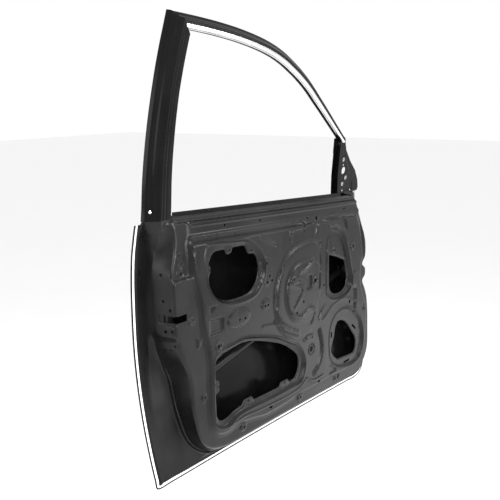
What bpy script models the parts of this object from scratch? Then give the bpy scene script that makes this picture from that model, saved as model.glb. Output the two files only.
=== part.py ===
"""Bare shell of a left front car door: stamped skin and inner panel, window frame and inner parts.

Run it with blender --background --python part.py, or from Blender's text editor.
X points to the front of the car, Y out of the car and Z up. The origin is the centre of the
upper hinge face. All sizes are in metres.
"""
import math

import bmesh
import bpy
from mathutils import Vector
from mathutils.geometry import delaunay_2d_cdt

# Door body
BODY_LENGTH = 1.122
BODY_HEIGHT = 0.684
WIDEST_HEIGHT = 0.430
LOWER_TUCK = 0.065
SHOULDER_TUCK = 0.0214
WIDEST_SET = 0.004
PLAN_SWEEP = 0.026
PANEL_DEPTH = 0.115

# Sheet and fits
SHEET = 0.0008
FRAME_SHEET = 0.0012
PLATE = 0.0016
TAPPING_PLATE = 0.008
GAP = 0.0003
OVERRUN = 0.002

# Hem and seal land
HEM_WIDTH = 0.012
FLANGE_INSET = 0.0015
LAND_DEPTH = 0.009

# Inner panel relief
FIELD_RISE = 0.007
FIELD_WALL = 0.014
LATCH_PATCH_RISE = 0.007
POCKET_SINK = 0.009
POCKET_WALL = 0.012
ROUND_RISE = 0.005
ROUND_WALL = 0.014
SHOULDER_WALL = 0.006

# Belt
BELT_RISE = 0.0325
BELT_SLOPE_SHARE = 0.0517
BELT_DEPTH = 0.088
BELT_FLANGE = 0.011
BELT_LEDGE = 0.011
BELT_BAND = 0.036
BELT_ROLL = 0.046
NECK_REACH = 0.020
REAR_ZONE_DEPTH = 0.108
NECK_DEPTH = 0.101

# Window frame
WINDOW_HEIGHT = 0.494
FRAME_SET = 0.050
FRAME_REACH = 0.075
FRAME_BOW = 0.052
SASH_WIDTH = 0.050
SASH_DEPTH = 0.046
HEADER_WIDTH = 0.034
HEADER_DEPTH = 0.021
CHANNEL_WIDTH = 0.022
CHANNEL_DEPTH = 0.024
SAIL_SET = 0.064
SAIL_LEAN_SHARE = 0.180
SAIL_FLANGE = 0.012

# Holes
SMALL_HOLE_RADIUS = 0.0038
MEDIUM_HOLE_RADIUS = 0.0055
LARGE_HOLE_RADIUS = 0.0095
MIRROR_HOLE_RADIUS = 0.0045
MIRROR_WIRE_RADIUS = 0.012
HINGE_HOLE_RADIUS = 0.0065
LATCH_HOLE_RADIUS = 0.0045
LATCH_SLOT_HEIGHT = 0.018
LATCH_SLOT_DEPTH = 0.047
LATCH_SLOT_REACH = 0.042
HOLE_SIDES = 8

# Inner parts
BEAM_RADIUS = 0.012
BEAM_WALL = 0.002
BEAM_CLEARANCE = 0.006
BEAM_END_SET = 0.044
BRACKET_LENGTH = 0.066
BRACKET_HEIGHT = 0.060
MASTIC_LENGTH = 0.050
MASTIC_HEIGHT = 0.016
BELT_OUTER_HEIGHT = 0.040
BELT_OUTER_RIB = 0.008
BELT_INNER_HEIGHT = 0.058
BELT_INNER_RIB = 0.012
GLASS_CHANNEL_WIDTH = 0.018
GLASS_CHANNEL_DEPTH = 0.020
GLASS_DRAW = 0.012
HINGE_MARGIN = 0.004
CHECK_SLOT_LENGTH = 0.030
CHECK_SLOT_HEIGHT = 0.012
HANDLE_PLATE_LENGTH = 0.086
HANDLE_PLATE_HEIGHT = 0.070
HANDLE_RECESS = 0.010
HANDLE_DISH_RADIUS = 0.040
LATCH_PLATE_MARGIN = 0.004
NUT_RADIUS = 0.0075
NUT_HEIGHT = 0.006
NUT_BORE_RADIUS = 0.003

# Rows of the inner panel's border, from the rear top, down, forward and up to the front top.
# Point for point, each row faces the next one. Shares of BODY_LENGTH and BODY_HEIGHT.
HEM_SHARES = (
    (0.0036, 1.0), (0.0036, 0.9708), (0.0036, 0.9357), (0.0027, 0.8991), (0.0027, 0.8596),
    (0.0027, 0.807), (0.0027, 0.731), (0.0027, 0.5877), (0.0027, 0.5556), (0.0027, 0.5044),
    (0.0027, 0.4459), (0.0027, 0.383), (0.0027, 0.3099), (0.0027, 0.2412), (0.0027, 0.1608),
    (0.0027, 0.0877), (0.0045, 0.0044), (0.0535, 0.0), (0.1337, 0.0), (0.205, 0.0), (0.2763, 0.0),
    (0.3743, 0.0), (0.4813, 0.0), (0.5882, 0.0), (0.6952, 0.0), (0.7843, 0.0), (0.8556, 0.0),
    (0.9091, 0.0), (0.9537, 0.0205), (0.9831, 0.0702), (0.9964, 0.1462), (0.9991, 0.2807),
    (1.0, 0.3582), (1.0, 0.424), (1.0, 0.4751), (1.0, 0.5117), (1.0, 0.5351), (1.0, 0.5731),
    (0.9991, 0.5994), (0.9991, 0.6345), (0.9973, 0.7105), (0.9947, 0.7749), (0.9884, 0.8553),
    (0.9813, 0.9094), (0.9715, 0.9576))
LAND_SHARES = (
    (0.0107, 1.0205), (0.0214, 0.9825), (0.0339, 0.943), (0.041, 0.9035), (0.0437, 0.8626),
    (0.0437, 0.8114), (0.0437, 0.7281), (0.0437, 0.5877), (0.0437, 0.5497), (0.0428, 0.5044),
    (0.041, 0.4459), (0.0365, 0.3728), (0.0339, 0.2997), (0.0374, 0.231), (0.0463, 0.1637),
    (0.0588, 0.117), (0.0766, 0.0819), (0.0998, 0.0556), (0.1471, 0.0322), (0.2094, 0.0263),
    (0.2763, 0.0249), (0.3743, 0.0249), (0.4813, 0.0249), (0.5882, 0.0249), (0.6952, 0.0249),
    (0.7843, 0.0249), (0.8556, 0.0249), (0.9002, 0.0263), (0.9376, 0.0468), (0.9679, 0.0877),
    (0.9786, 0.1535), (0.9804, 0.2778), (0.9804, 0.3553), (0.9786, 0.4211), (0.9733, 0.4708),
    (0.9697, 0.5117), (0.9697, 0.5351), (0.9697, 0.5731), (0.9697, 0.5994), (0.9679, 0.633),
    (0.9679, 0.7105), (0.9626, 0.7719), (0.9501, 0.8553), (0.9376, 0.9094), (0.9234, 0.9591))
FOOT_SHARES = (
    (0.0196, 1.0307), (0.0285, 0.9883), (0.0392, 0.9474), (0.0446, 0.9064), (0.0428, 0.8611),
    (0.0428, 0.8114), (0.0463, 0.731), (0.0463, 0.5877), (0.0526, 0.5556), (0.0579, 0.5161),
    (0.0713, 0.4635), (0.0891, 0.3845), (0.0954, 0.3026), (0.1025, 0.2558), (0.1114, 0.212),
    (0.1212, 0.1579), (0.1337, 0.1126), (0.156, 0.0716), (0.1898, 0.0395), (0.2335, 0.0322),
    (0.2852, 0.0307), (0.3743, 0.0307), (0.4813, 0.0307), (0.5882, 0.0307), (0.6952, 0.0307),
    (0.7843, 0.0307), (0.8512, 0.0307), (0.8939, 0.0336), (0.9287, 0.057), (0.9554, 0.0994),
    (0.9688, 0.1579), (0.9688, 0.2749), (0.9688, 0.3509), (0.9643, 0.4196), (0.9563, 0.4708),
    (0.9483, 0.5117), (0.9465, 0.5351), (0.9465, 0.5731), (0.9465, 0.5994), (0.9465, 0.6345),
    (0.9465, 0.7105), (0.9394, 0.7719), (0.9225, 0.8553), (0.9073, 0.9064), (0.8913, 0.9591))
FACE_SHARES = (
    (0.0481, 1.0307), (0.0553, 1.0088), (0.0606, 0.9576), (0.0588, 0.9152), (0.0526, 0.8743),
    (0.0446, 0.8187), (0.0463, 0.731), (0.0463, 0.5877), (0.0561, 0.5629), (0.0597, 0.5336),
    (0.0704, 0.4795), (0.0891, 0.4181), (0.098, 0.3436), (0.0998, 0.2778), (0.1061, 0.2266),
    (0.1194, 0.1608), (0.139, 0.1111), (0.1693, 0.0775), (0.2139, 0.0599), (0.254, 0.0541),
    (0.2941, 0.0526), (0.3743, 0.0512), (0.4813, 0.0497), (0.5882, 0.0468), (0.6952, 0.0439),
    (0.7843, 0.0409), (0.8467, 0.0395), (0.8913, 0.0409), (0.9251, 0.0614), (0.9537, 0.1023),
    (0.9688, 0.1579), (0.9688, 0.2749), (0.9661, 0.3509), (0.959, 0.4181), (0.9456, 0.4664),
    (0.9296, 0.5117), (0.9465, 0.5351), (0.9465, 0.5731), (0.9278, 0.5994), (0.9465, 0.6345),
    (0.9465, 0.7105), (0.9323, 0.7719), (0.9118, 0.8523), (0.8939, 0.9094), (0.877, 0.9576))
# How deep the foot row lies, as shares of PANEL_DEPTH, on the rear side and round the corner
FOOT_DEPTH_SHARES = (
    0.852, 0.765, 0.609, 0.478, 0.383, 0.313, 0.261, 0.261, 0.261, 0.270, 0.287, 0.348, 0.409, 0.417,
    0.426, 0.461, 0.504, 0.574, 0.661)
BELT_STEPS = 22
LATCH_STATION = 6
LOWER_HINGE_STATION = 30
UPPER_HINGE_STATION = 39
CHECK_STATION = 36

# Relief of the inner panel's main face
FIELD_SHARES = (
    (0.1159, 0.9444), (0.098, 0.9327), (0.0963, 0.8918), (0.1034, 0.826), (0.1159, 0.7485),
    (0.1275, 0.6725), (0.1328, 0.5994), (0.1408, 0.5409), (0.1497, 0.4898), (0.1533, 0.424),
    (0.1533, 0.2924), (0.1542, 0.212), (0.164, 0.1579), (0.1854, 0.1228), (0.2184, 0.1082),
    (0.2674, 0.1155), (0.3298, 0.1053), (0.3922, 0.0877), (0.4813, 0.0877), (0.5704, 0.0965),
    (0.6595, 0.0936), (0.7398, 0.0936), (0.8289, 0.0848), (0.9002, 0.0994), (0.9358, 0.1535),
    (0.9483, 0.2778), (0.943, 0.3874), (0.9269, 0.4459), (0.9109, 0.5044), (0.9109, 0.5994),
    (0.9234, 0.6506), (0.9198, 0.7018), (0.9037, 0.7865), (0.8824, 0.8553), (0.8601, 0.8772),
    (0.7843, 0.883), (0.6684, 0.8889), (0.5704, 0.8977), (0.4635, 0.9094), (0.3565, 0.9225),
    (0.2228, 0.9371))
LATCH_PATCH_SHARES = (
    (0.0499, 0.7909), (0.0588, 0.7909), (0.0624, 0.7617), (0.1123, 0.7573), (0.1248, 0.6579),
    (0.1292, 0.5921), (0.0535, 0.5775))
UPPER_REAR_POCKET_SHARES = (
    (0.1462, 0.8553), (0.1524, 0.8904), (0.1684, 0.9079), (0.1988, 0.905), (0.2415, 0.8962),
    (0.2799, 0.8918), (0.3137, 0.8845), (0.336, 0.8684), (0.3583, 0.8406), (0.3725, 0.8173),
    (0.3841, 0.7851), (0.3877, 0.75), (0.3841, 0.712), (0.3725, 0.6813), (0.3583, 0.6579),
    (0.3414, 0.6433), (0.3137, 0.636), (0.2701, 0.636), (0.2389, 0.6418), (0.2077, 0.6594),
    (0.1872, 0.6798), (0.1702, 0.712), (0.1586, 0.75), (0.1515, 0.8012))
UPPER_REAR_OPENING_SHARES = (
    (0.1702, 0.8202), (0.1783, 0.845), (0.1854, 0.8582), (0.1952, 0.8655), (0.2317, 0.864),
    (0.2371, 0.8436), (0.2487, 0.8392), (0.2594, 0.8436), (0.2638, 0.8626), (0.3119, 0.8582),
    (0.32, 0.8377), (0.3253, 0.8216), (0.3378, 0.8158), (0.3503, 0.8158), (0.3619, 0.7968),
    (0.3681, 0.7617), (0.3681, 0.7368), (0.3627, 0.7091), (0.3529, 0.6871), (0.3414, 0.6696),
    (0.3235, 0.6579), (0.2968, 0.6535), (0.2701, 0.6535), (0.2389, 0.6579), (0.2148, 0.6696),
    (0.1952, 0.6871), (0.1827, 0.712), (0.1738, 0.7398), (0.1711, 0.7705), (0.1783, 0.7895),
    (0.1791, 0.8114))
LOWER_REAR_POCKET_SHARES = (
    (0.172, 0.4167), (0.1774, 0.4459), (0.197, 0.4693), (0.2469, 0.4766), (0.3048, 0.4795),
    (0.3681, 0.4576), (0.4394, 0.424), (0.4938, 0.383), (0.5472, 0.3377), (0.5722, 0.2939),
    (0.5838, 0.2427), (0.5775, 0.1959), (0.5579, 0.1564), (0.5116, 0.155), (0.4037, 0.1564),
    (0.2959, 0.1637), (0.2602, 0.1579), (0.2291, 0.1389), (0.1988, 0.1447), (0.1774, 0.1696),
    (0.1711, 0.2105))
LOWER_REAR_OPENING_SHARES = (
    (0.1881, 0.4137), (0.1925, 0.4313), (0.213, 0.4459), (0.2602, 0.4532), (0.2959, 0.4576),
    (0.3324, 0.4503), (0.3743, 0.4313), (0.4216, 0.4064), (0.4643, 0.3816), (0.4964, 0.3553),
    (0.5321, 0.3173), (0.5499, 0.2924), (0.557, 0.2661), (0.5561, 0.2339), (0.549, 0.2047),
    (0.5348, 0.1857), (0.5116, 0.1813), (0.5045, 0.2003), (0.4688, 0.2003), (0.4608, 0.1827),
    (0.4037, 0.1842), (0.3431, 0.1886), (0.336, 0.2091), (0.2977, 0.2091), (0.2906, 0.1915),
    (0.254, 0.1857), (0.2335, 0.174), (0.2157, 0.1696), (0.1996, 0.1769), (0.1898, 0.2003),
    (0.1881, 0.2909), (0.2023, 0.2997), (0.2023, 0.3436), (0.1881, 0.3523))
UPPER_FRONT_POCKET_SHARES = (
    (0.6952, 0.5263), (0.6961, 0.7251), (0.7059, 0.7924), (0.7273, 0.826), (0.7629, 0.8202),
    (0.7923, 0.7895), (0.8191, 0.7178), (0.8405, 0.6228), (0.8494, 0.5497), (0.8422, 0.5044),
    (0.8209, 0.481), (0.7807, 0.4708), (0.738, 0.4795), (0.7094, 0.4985))
UPPER_FRONT_OPENING_SHARES = (
    (0.7255, 0.7018), (0.7718, 0.6784), (0.8137, 0.652), (0.8217, 0.6082), (0.8289, 0.557),
    (0.8226, 0.5234), (0.8066, 0.5044), (0.7825, 0.4971), (0.754, 0.5029), (0.7344, 0.5219),
    (0.7264, 0.5526))
LOWER_FRONT_POCKET_SHARES = (
    (0.713, 0.2544), (0.7139, 0.3129), (0.7246, 0.3655), (0.7496, 0.4006), (0.7897, 0.4152),
    (0.8351, 0.4064), (0.8815, 0.364), (0.9135, 0.3056), (0.9278, 0.2325), (0.9242, 0.1696),
    (0.9064, 0.1213), (0.8708, 0.1009), (0.8164, 0.1067), (0.7718, 0.1243), (0.738, 0.1594),
    (0.7184, 0.2032))
LOWER_FRONT_OPENING_SHARES = (
    (0.7647, 0.3304), (0.7763, 0.3523), (0.7941, 0.3553), (0.8164, 0.3436), (0.8387, 0.3158),
    (0.8574, 0.2822), (0.8806, 0.2427), (0.8895, 0.2149), (0.8868, 0.1696), (0.877, 0.152),
    (0.8369, 0.155), (0.7995, 0.1608), (0.7781, 0.1623), (0.7611, 0.1813), (0.7442, 0.2105),
    (0.7406, 0.2295), (0.7478, 0.2544), (0.7576, 0.2836))
ROUND_SHARES = (
    (0.656, 0.731), (0.6488, 0.7749), (0.6239, 0.8012), (0.5882, 0.807), (0.557, 0.8041),
    (0.5169, 0.7924), (0.4813, 0.7632), (0.4528, 0.7164), (0.434, 0.6579), (0.426, 0.5921),
    (0.4314, 0.5234), (0.4492, 0.4605), (0.4768, 0.4137), (0.5125, 0.3772), (0.5526, 0.3626),
    (0.5971, 0.3743), (0.6346, 0.4094), (0.6578, 0.4825))
ROUND_INNER_SHARES = (
    (0.6435, 0.6871), (0.615, 0.7135), (0.5704, 0.7251), (0.5258, 0.7193), (0.4955, 0.6901),
    (0.4768, 0.6433), (0.4724, 0.5848), (0.4813, 0.5263), (0.5045, 0.4766), (0.5392, 0.4503),
    (0.5882, 0.4474), (0.6239, 0.4737), (0.6435, 0.5263))

# Small holes of the inner panel, as places with the name of a radius
SMALL_HOLE_SHARES = (
    (0.2353, 0.9591), (0.3806, 0.9444), (0.6043, 0.9064), (0.8119, 0.905), (0.3913, 0.7632),
    (0.4046, 0.7061), (0.393, 0.6827), (0.418, 0.6827), (0.3806, 0.5848), (0.3939, 0.5848),
    (0.2709, 0.5687), (0.2932, 0.5673), (0.5053, 0.6579), (0.533, 0.6447), (0.557, 0.5409),
    (0.5232, 0.5015), (0.5811, 0.3538), (0.6123, 0.3494), (0.7531, 0.7164), (0.8494, 0.712),
    (0.68, 0.5746), (0.139, 0.3085), (0.2914, 0.098), (0.5597, 0.0833), (0.7576, 0.0731))
MEDIUM_HOLE_SHARES = (
    (0.648, 0.8947), (0.6185, 0.617), (0.1907, 0.4912), (0.0758, 0.8143), (0.8333, 0.4371))
LARGE_HOLE_SHARES = ((0.6114, 0.2924),)

# Window frame, outer edge from the rear foot to the mirror corner. Shares of BODY_LENGTH, and of
# WINDOW_HEIGHT above BODY_HEIGHT.
REAR_EDGE_SHARES = (
    (0.0, 0.085), (-0.0071, 0.2328), (-0.0125, 0.3765), (-0.0169, 0.5182), (-0.0205, 0.6599),
    (-0.0223, 0.7611), (-0.0232, 0.8583))
CORNER_SHARE = (-0.0241, 1.0)
HEADER_EDGE_SHARES = (
    (0.0196, 0.9939), (0.0838, 0.9838), (0.1533, 0.9696), (0.2282, 0.9494), (0.3102, 0.919),
    (0.3743, 0.8866), (0.4278, 0.8502), (0.4724, 0.8117), (0.5214, 0.7652), (0.5847, 0.6943),
    (0.6569, 0.5972), (0.7353, 0.4838), (0.8316, 0.3401))
DIVISION_SHARES = (
    (0.7923, 0.3178), (0.8004, 0.2146), (0.8093, 0.083), (0.8173, -0.0324), (0.8226, -0.1194),
    (0.8342, -0.2915), (0.8414, -0.5142))
SAIL_SHARES = (
    (0.844, -0.0891), (0.8699, -0.0891), (0.8734, -0.0547), (0.9643, -0.0547), (0.9679, -0.0243),
    (0.9563, 0.0324), (0.9287, 0.1073), (0.8841, 0.1964), (0.8529, 0.2632))
MIRROR_HOLE_SHARES = ((0.8467, 0.1842), (0.877, 0.0567), (0.8627, 0.0162))
MIRROR_WIRE_SHARE = (0.8583, 0.1093)

# Sections of the rolled frame: share of the width across, share of the depth inboard
SASH_SECTION_SHARES = (
    (0.98, 0.06), (0.04, 0.0), (0.0, 0.06), (0.07, 0.42), (0.18, 0.50), (0.20, 0.64), (0.30, 0.74),
    (0.34, 0.94), (0.42, 1.0), (0.96, 1.0), (1.0, 0.94), (1.0, 0.62), (0.62, 0.60), (0.62, 0.24),
    (0.96, 0.20))
HEADER_SECTION_SHARES = (
    (0.97, 0.05), (0.05, 0.0), (0.0, 0.10), (0.20, 0.26), (0.30, 0.50), (0.38, 0.54), (0.42, 0.88),
    (0.48, 1.0), (0.98, 0.84), (1.0, 0.76), (1.0, 0.58), (0.68, 0.56), (0.68, 0.26), (0.96, 0.22))
DIVISION_SECTION_SHARES = ((0.0, 0.0), (1.0, 0.0), (1.0, 1.0), (0.0, 1.0))
GLASS_CHANNEL_SECTION_SHARES = ((1.0, 0.0), (0.0, 0.0), (0.0, 1.0), (1.0, 1.0))

# Inner parts, as shares of BODY_LENGTH and BODY_HEIGHT
BEAM_REAR_SHARE = (0.1337, 0.3143)
BEAM_FRONT_SHARE = (0.9073, 0.5702)
MASTIC_PLACE_SHARES = (0.2, 0.4, 0.6, 0.8)
GLASS_CHANNEL_SHARES = (
    (0.0526, 0.8553), (0.0517, 0.7968), (0.0508, 0.731), (0.0508, 0.6067), (0.0615, 0.5556))
HANDLE_SHARE = (0.1337, 0.8626)
HANDLE_FRONT_HOLE_SHARE = (0.2184, 0.8655)
HANDLE_REAR_HOLE_SHARE = (0.0802, 0.8655)
HANDLE_HOLE_RADIUS = 0.013
LATCH_HOLE_SHARES = ((0.32, 0.77), (0.90, 0.56), (0.86, 0.87), (0.10, 0.49))
LATCH_SLOT_SHARE = (0.0463, 0.6506)
LEVEL = (1.0, 0.0)


def place(pair):
    """Give the x and z of a pair of shares of the door body."""
    return pair[0] * BODY_LENGTH, pair[1] * BODY_HEIGHT


def frame_place(pair):
    """Give the x and z of a pair of shares of the window frame."""
    return pair[0] * BODY_LENGTH, BODY_HEIGHT + pair[1] * WINDOW_HEIGHT


def skin_y(x, z):
    """Give the outer face of the skin."""
    if z < WIDEST_HEIGHT:
        tuck = LOWER_TUCK * ((WIDEST_HEIGHT - z) / WIDEST_HEIGHT) ** 2
    else:
        tuck = SHOULDER_TUCK * ((z - WIDEST_HEIGHT) / (BODY_HEIGHT - WIDEST_HEIGHT)) ** 3
    return -WIDEST_SET - tuck - PLAN_SWEEP * (x / BODY_LENGTH) ** 2


def frame_y(z):
    """Give the leaning face of the window frame."""
    rise = (z - BODY_HEIGHT) / WINDOW_HEIGHT
    return -FRAME_SET - FRAME_REACH * rise - FRAME_BOW * rise * abs(rise)


def belt_z(x):
    """Give the height of the belt line."""
    return BODY_HEIGHT + BELT_RISE - BELT_SLOPE_SHARE * x


def clamp(value):
    """Keep a value between 0 and 1."""
    return min(max(value, 0.0), 1.0)


def mix(low, high, share):
    """Blend two values."""
    return low + (high - low) * share


def inside(point, loop):
    """Tell whether a point lies inside a closed loop."""
    x, z = point
    crossings = 0
    for (ax, az), (bx, bz) in zip(loop, loop[1:] + loop[:1]):
        if (az > z) != (bz > z) and x < ax + (z - az) * (bx - ax) / (bz - az):
            crossings += 1
    return crossings % 2 == 1


def distance(point, loop):
    """Give the distance of a point to a closed loop, positive inside it."""
    px, pz = point
    nearest = math.inf
    for (ax, az), (bx, bz) in zip(loop, loop[1:] + loop[:1]):
        dx, dz = bx - ax, bz - az
        along = clamp(((px - ax) * dx + (pz - az) * dz) / (dx * dx + dz * dz))
        nearest = min(nearest, math.hypot(px - ax - along * dx, pz - az - along * dz))
    return nearest if inside(point, loop) else -nearest


def normals(points, closed):
    """Give the mitred left-hand normal at each point of a line."""
    count = len(points)
    result = []
    for index, (x, z) in enumerate(points):
        before = points[index - 1] if closed or index else points[0]
        after = points[(index + 1) % count] if closed or index < count - 1 else points[-1]
        sides = []
        for (ax, az), (bx, bz) in ((before, (x, z)), ((x, z), after)):
            length = math.hypot(bx - ax, bz - az)
            if length > 0.0:
                sides.append(Vector((-(bz - az) / length, (bx - ax) / length)))
        middle = sum(sides, Vector((0.0, 0.0))).normalized()
        result.append(middle / max(middle.dot(sides[0]), 0.5))
    return result


def offset(points, width, closed=True):
    """Move a line to its left by a width."""
    return [(x + n.x * width, z + n.y * width) for (x, z), n in zip(points, normals(points, closed))]


def inset(loop, width):
    """Shrink a closed loop by a width, whichever way it turns."""
    area = sum(ax * bz - bx * az for (ax, az), (bx, bz) in zip(loop, loop[1:] + loop[:1]))
    return offset(loop, math.copysign(width, area))


def circle(centre, radius, sides=HOLE_SIDES):
    """Give a round loop."""
    turns = [math.tau * step / sides for step in range(sides)]
    return [(centre[0] + radius * math.cos(turn), centre[1] + radius * math.sin(turn)) for turn in turns]


FIELD = [place(pair) for pair in FIELD_SHARES]
LATCH_PATCH = [place(pair) for pair in LATCH_PATCH_SHARES]
POCKETS = [[place(pair) for pair in shares] for shares in (
    UPPER_REAR_POCKET_SHARES, LOWER_REAR_POCKET_SHARES, UPPER_FRONT_POCKET_SHARES, LOWER_FRONT_POCKET_SHARES)]
OPENINGS = [[place(pair) for pair in shares] for shares in (
    UPPER_REAR_OPENING_SHARES, LOWER_REAR_OPENING_SHARES,
    UPPER_FRONT_OPENING_SHARES, LOWER_FRONT_OPENING_SHARES)]
ROUNDS = [[place(pair) for pair in shares] for shares in (ROUND_SHARES, ROUND_INNER_SHARES)]
HEM_LINE = [place(pair) for pair in HEM_SHARES]
FACE_LINE = [place(pair) for pair in FACE_SHARES]
FOOT_LINE = [place(pair) for pair in FOOT_SHARES]


def belt_depth(drop):
    """Give how deep the inner panel lies at a drop below the belt line."""
    ledge = clamp((drop - BELT_FLANGE) / SHOULDER_WALL)
    roll = clamp((drop - BELT_BAND) / (BELT_ROLL - BELT_BAND))
    below = clamp((drop - BELT_ROLL) / SHOULDER_WALL)
    zone = REAR_ZONE_DEPTH - BELT_DEPTH - BELT_LEDGE
    return BELT_DEPTH + BELT_LEDGE * ledge + zone * roll + PANEL_DEPTH * below


def face_depth(x, z):
    """Give how deep the inner panel's main face lies at a place."""
    spot = (x, z)
    base = PANEL_DEPTH - FIELD_RISE
    patch = clamp(distance(spot, LATCH_PATCH) / SHOULDER_WALL)
    above_patch = clamp((z - LATCH_PATCH[0][1]) / SHOULDER_WALL)
    rearward = clamp((FIELD[0][0] - x) / NECK_REACH)
    base -= LATCH_PATCH_RISE * above_patch * rearward * (1.0 - patch)
    depth = base + FIELD_RISE * clamp(distance(spot, FIELD) / FIELD_WALL)
    for loop in POCKETS:
        depth -= POCKET_SINK * clamp(distance(spot, loop) / POCKET_WALL)
    for loop in ROUNDS:
        depth += ROUND_RISE * clamp(distance(spot, loop) / ROUND_WALL)
    belt = belt_depth(belt_z(x) - z)
    neck = clamp((FACE_LINE[0][0] + NECK_REACH - x) / NECK_REACH)
    return min(depth, max(belt, mix(belt, NECK_DEPTH, neck)))


def flange_y(x, z):
    """Give the inboard face of the inner panel's hem flange."""
    return skin_y(x, z) - SHEET - GAP - SHEET


def link(obj, name, colour, roughness, metallic):
    """Name an object, give it its own material and hang it on the root."""
    obj.name = name
    material = bpy.data.materials.new(name + "_finish")
    material.use_nodes = True
    shader = material.node_tree.nodes["Principled BSDF"]
    shader.inputs["Base Color"].default_value = (*colour, 1.0)
    shader.inputs["Roughness"].default_value = roughness
    shader.inputs["Metallic"].default_value = metallic
    obj.data.materials.append(material)
    obj.parent = ROOT
    return obj


BLACK_COAT = ((0.012, 0.012, 0.013), 0.35, 0.0)
ZINC = ((0.45, 0.45, 0.43), 0.4, 0.9)
MASTIC = ((0.03, 0.03, 0.03), 0.9, 0.0)


def new_object(mesh, name, finish=BLACK_COAT):
    """Turn a bmesh into a named object."""
    data = bpy.data.meshes.new(name)
    mesh.to_mesh(data)
    mesh.free()
    obj = bpy.data.objects.new(name, data)
    bpy.context.scene.collection.objects.link(obj)
    return link(obj, name, *finish)


def thicken(obj, thickness, side):
    """Give a surface its sheet thickness: side -1 behind its normals, 0 centred, 1 before them."""
    solid = obj.modifiers.new("sheet", "SOLIDIFY")
    solid.thickness = thickness
    solid.offset = side
    solid.use_even_offset = True
    solid.use_rim = True
    return obj


def cut(obj, cutter, folded=False):
    """Cut one object by another, which stays as a guide. A folded section may touch itself."""
    cutter.hide_render = True
    cutter.display_type = "WIRE"
    boolean = obj.modifiers.new("cut", "BOOLEAN")
    boolean.operation = "DIFFERENCE"
    boolean.solver = "EXACT"
    boolean.use_self = folded
    boolean.object = cutter


def surface(rows, faces=()):
    """Join rows of points into a sheet, with loose faces added, and weld what meets."""
    mesh = bmesh.new()
    for row, after in zip(rows, rows[1:]):
        lower = [mesh.verts.new(point) for point in row]
        upper = [mesh.verts.new(point) for point in after]
        for index in range(len(row) - 1):
            mesh.faces.new((lower[index], lower[index + 1], upper[index + 1], upper[index]))
    for face in faces:
        mesh.faces.new([mesh.verts.new(point) for point in face])
    bmesh.ops.remove_doubles(mesh, verts=mesh.verts, dist=GAP / 10.0)
    return mesh


def triangles(outline, creases, holes, extra=()):
    """Cut the inside of an outline into triangles along its creases, leaving its holes open."""
    points = []
    edges = []
    for loop, closed in [(outline, True)] + [(loop, True) for loop in holes] + list(creases):
        start = len(points)
        points.extend(loop)
        edges.extend((start + step, start + step + 1) for step in range(len(loop) - 1))
        if closed:
            edges.append((start + len(loop) - 1, start))
    points.extend(extra)
    flat = [Vector(point) for point in points]
    spots, _, found, *_ = delaunay_2d_cdt(flat, edges, [], 0, GAP / 100.0)
    kept = []
    for face in found:
        corners = [spots[index] for index in face]
        middle = sum(corners, Vector((0.0, 0.0))) / len(corners)
        if inside(middle, outline) and not any(inside(middle, hole) for hole in holes):
            kept.append([(corner.x, corner.y) for corner in corners])
    return kept


def box_mesh(low, high):
    """Give a box between two corners."""
    mesh = bmesh.new()
    bmesh.ops.create_cube(mesh, size=1.0)
    for vert in mesh.verts:
        vert.co = Vector([mix(a, b, c + 0.5) for a, b, c in zip(low, high, vert.co)])
    return mesh


def rod_mesh(start, end, radius, sides=12):
    """Give a closed rod between two points."""
    mesh = bmesh.new()
    axis = Vector(end) - Vector(start)
    bmesh.ops.create_cone(
        mesh, cap_ends=True, segments=sides, radius1=radius, radius2=radius, depth=axis.length)
    turn = axis.to_track_quat("Z", "Y").to_matrix()
    for vert in mesh.verts:
        vert.co = turn @ vert.co + (Vector(start) + Vector(end)) / 2.0
    return mesh


def border_rows():
    """Give the rows of the inner panel's border, from the hem to the edge of the main face."""
    start = [Vector((x, flange_y(x, z), z)) for x, z in offset(HEM_LINE, FLANGE_INSET, False)]
    lip = [Vector((x, flange_y(x, z), z)) for x, z in offset(HEM_LINE, HEM_WIDTH, False)]
    land = [Vector((x, skin_y(x, z) - LAND_DEPTH, z)) for x, z in map(place, LAND_SHARES)]
    foot = []
    for index, (x, z) in enumerate(FOOT_LINE):
        if index < len(FOOT_DEPTH_SHARES):
            y = -PANEL_DEPTH * FOOT_DEPTH_SHARES[index]
        else:
            y = skin_y(x, z) - LAND_DEPTH - OVERRUN
        foot.append(Vector((x, y, z)))
    face = [Vector((x, -face_depth(x, z), z)) for x, z in FACE_LINE]
    land[0].y = mix(flange_y(land[0].x, land[0].z), foot[0].y, 0.5)
    return start, lip, land, foot, face


def inner_outline():
    """Give the outline of the inner panel's main face."""
    rear, front = FACE_LINE[0], FACE_LINE[-1]
    steps = 8
    top = []
    for step in range(1, steps + 1):
        x = mix(front[0], rear[0] + NECK_REACH, step / steps)
        top.append((x, belt_z(x) - BELT_FLANGE))
    return FACE_LINE + top


def belt_creases():
    """Give the open bend lines below the belt."""
    lines = []
    first = FACE_LINE[0][0] + NECK_REACH
    last = FACE_LINE[-1][0] - NECK_REACH
    for drop in (BELT_FLANGE + SHOULDER_WALL, BELT_BAND, BELT_ROLL):
        xs = [mix(first, last, step / 6.0) for step in range(7)]
        lines.append(([(x, belt_z(x) - drop) for x in xs], False))
    return lines


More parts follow.
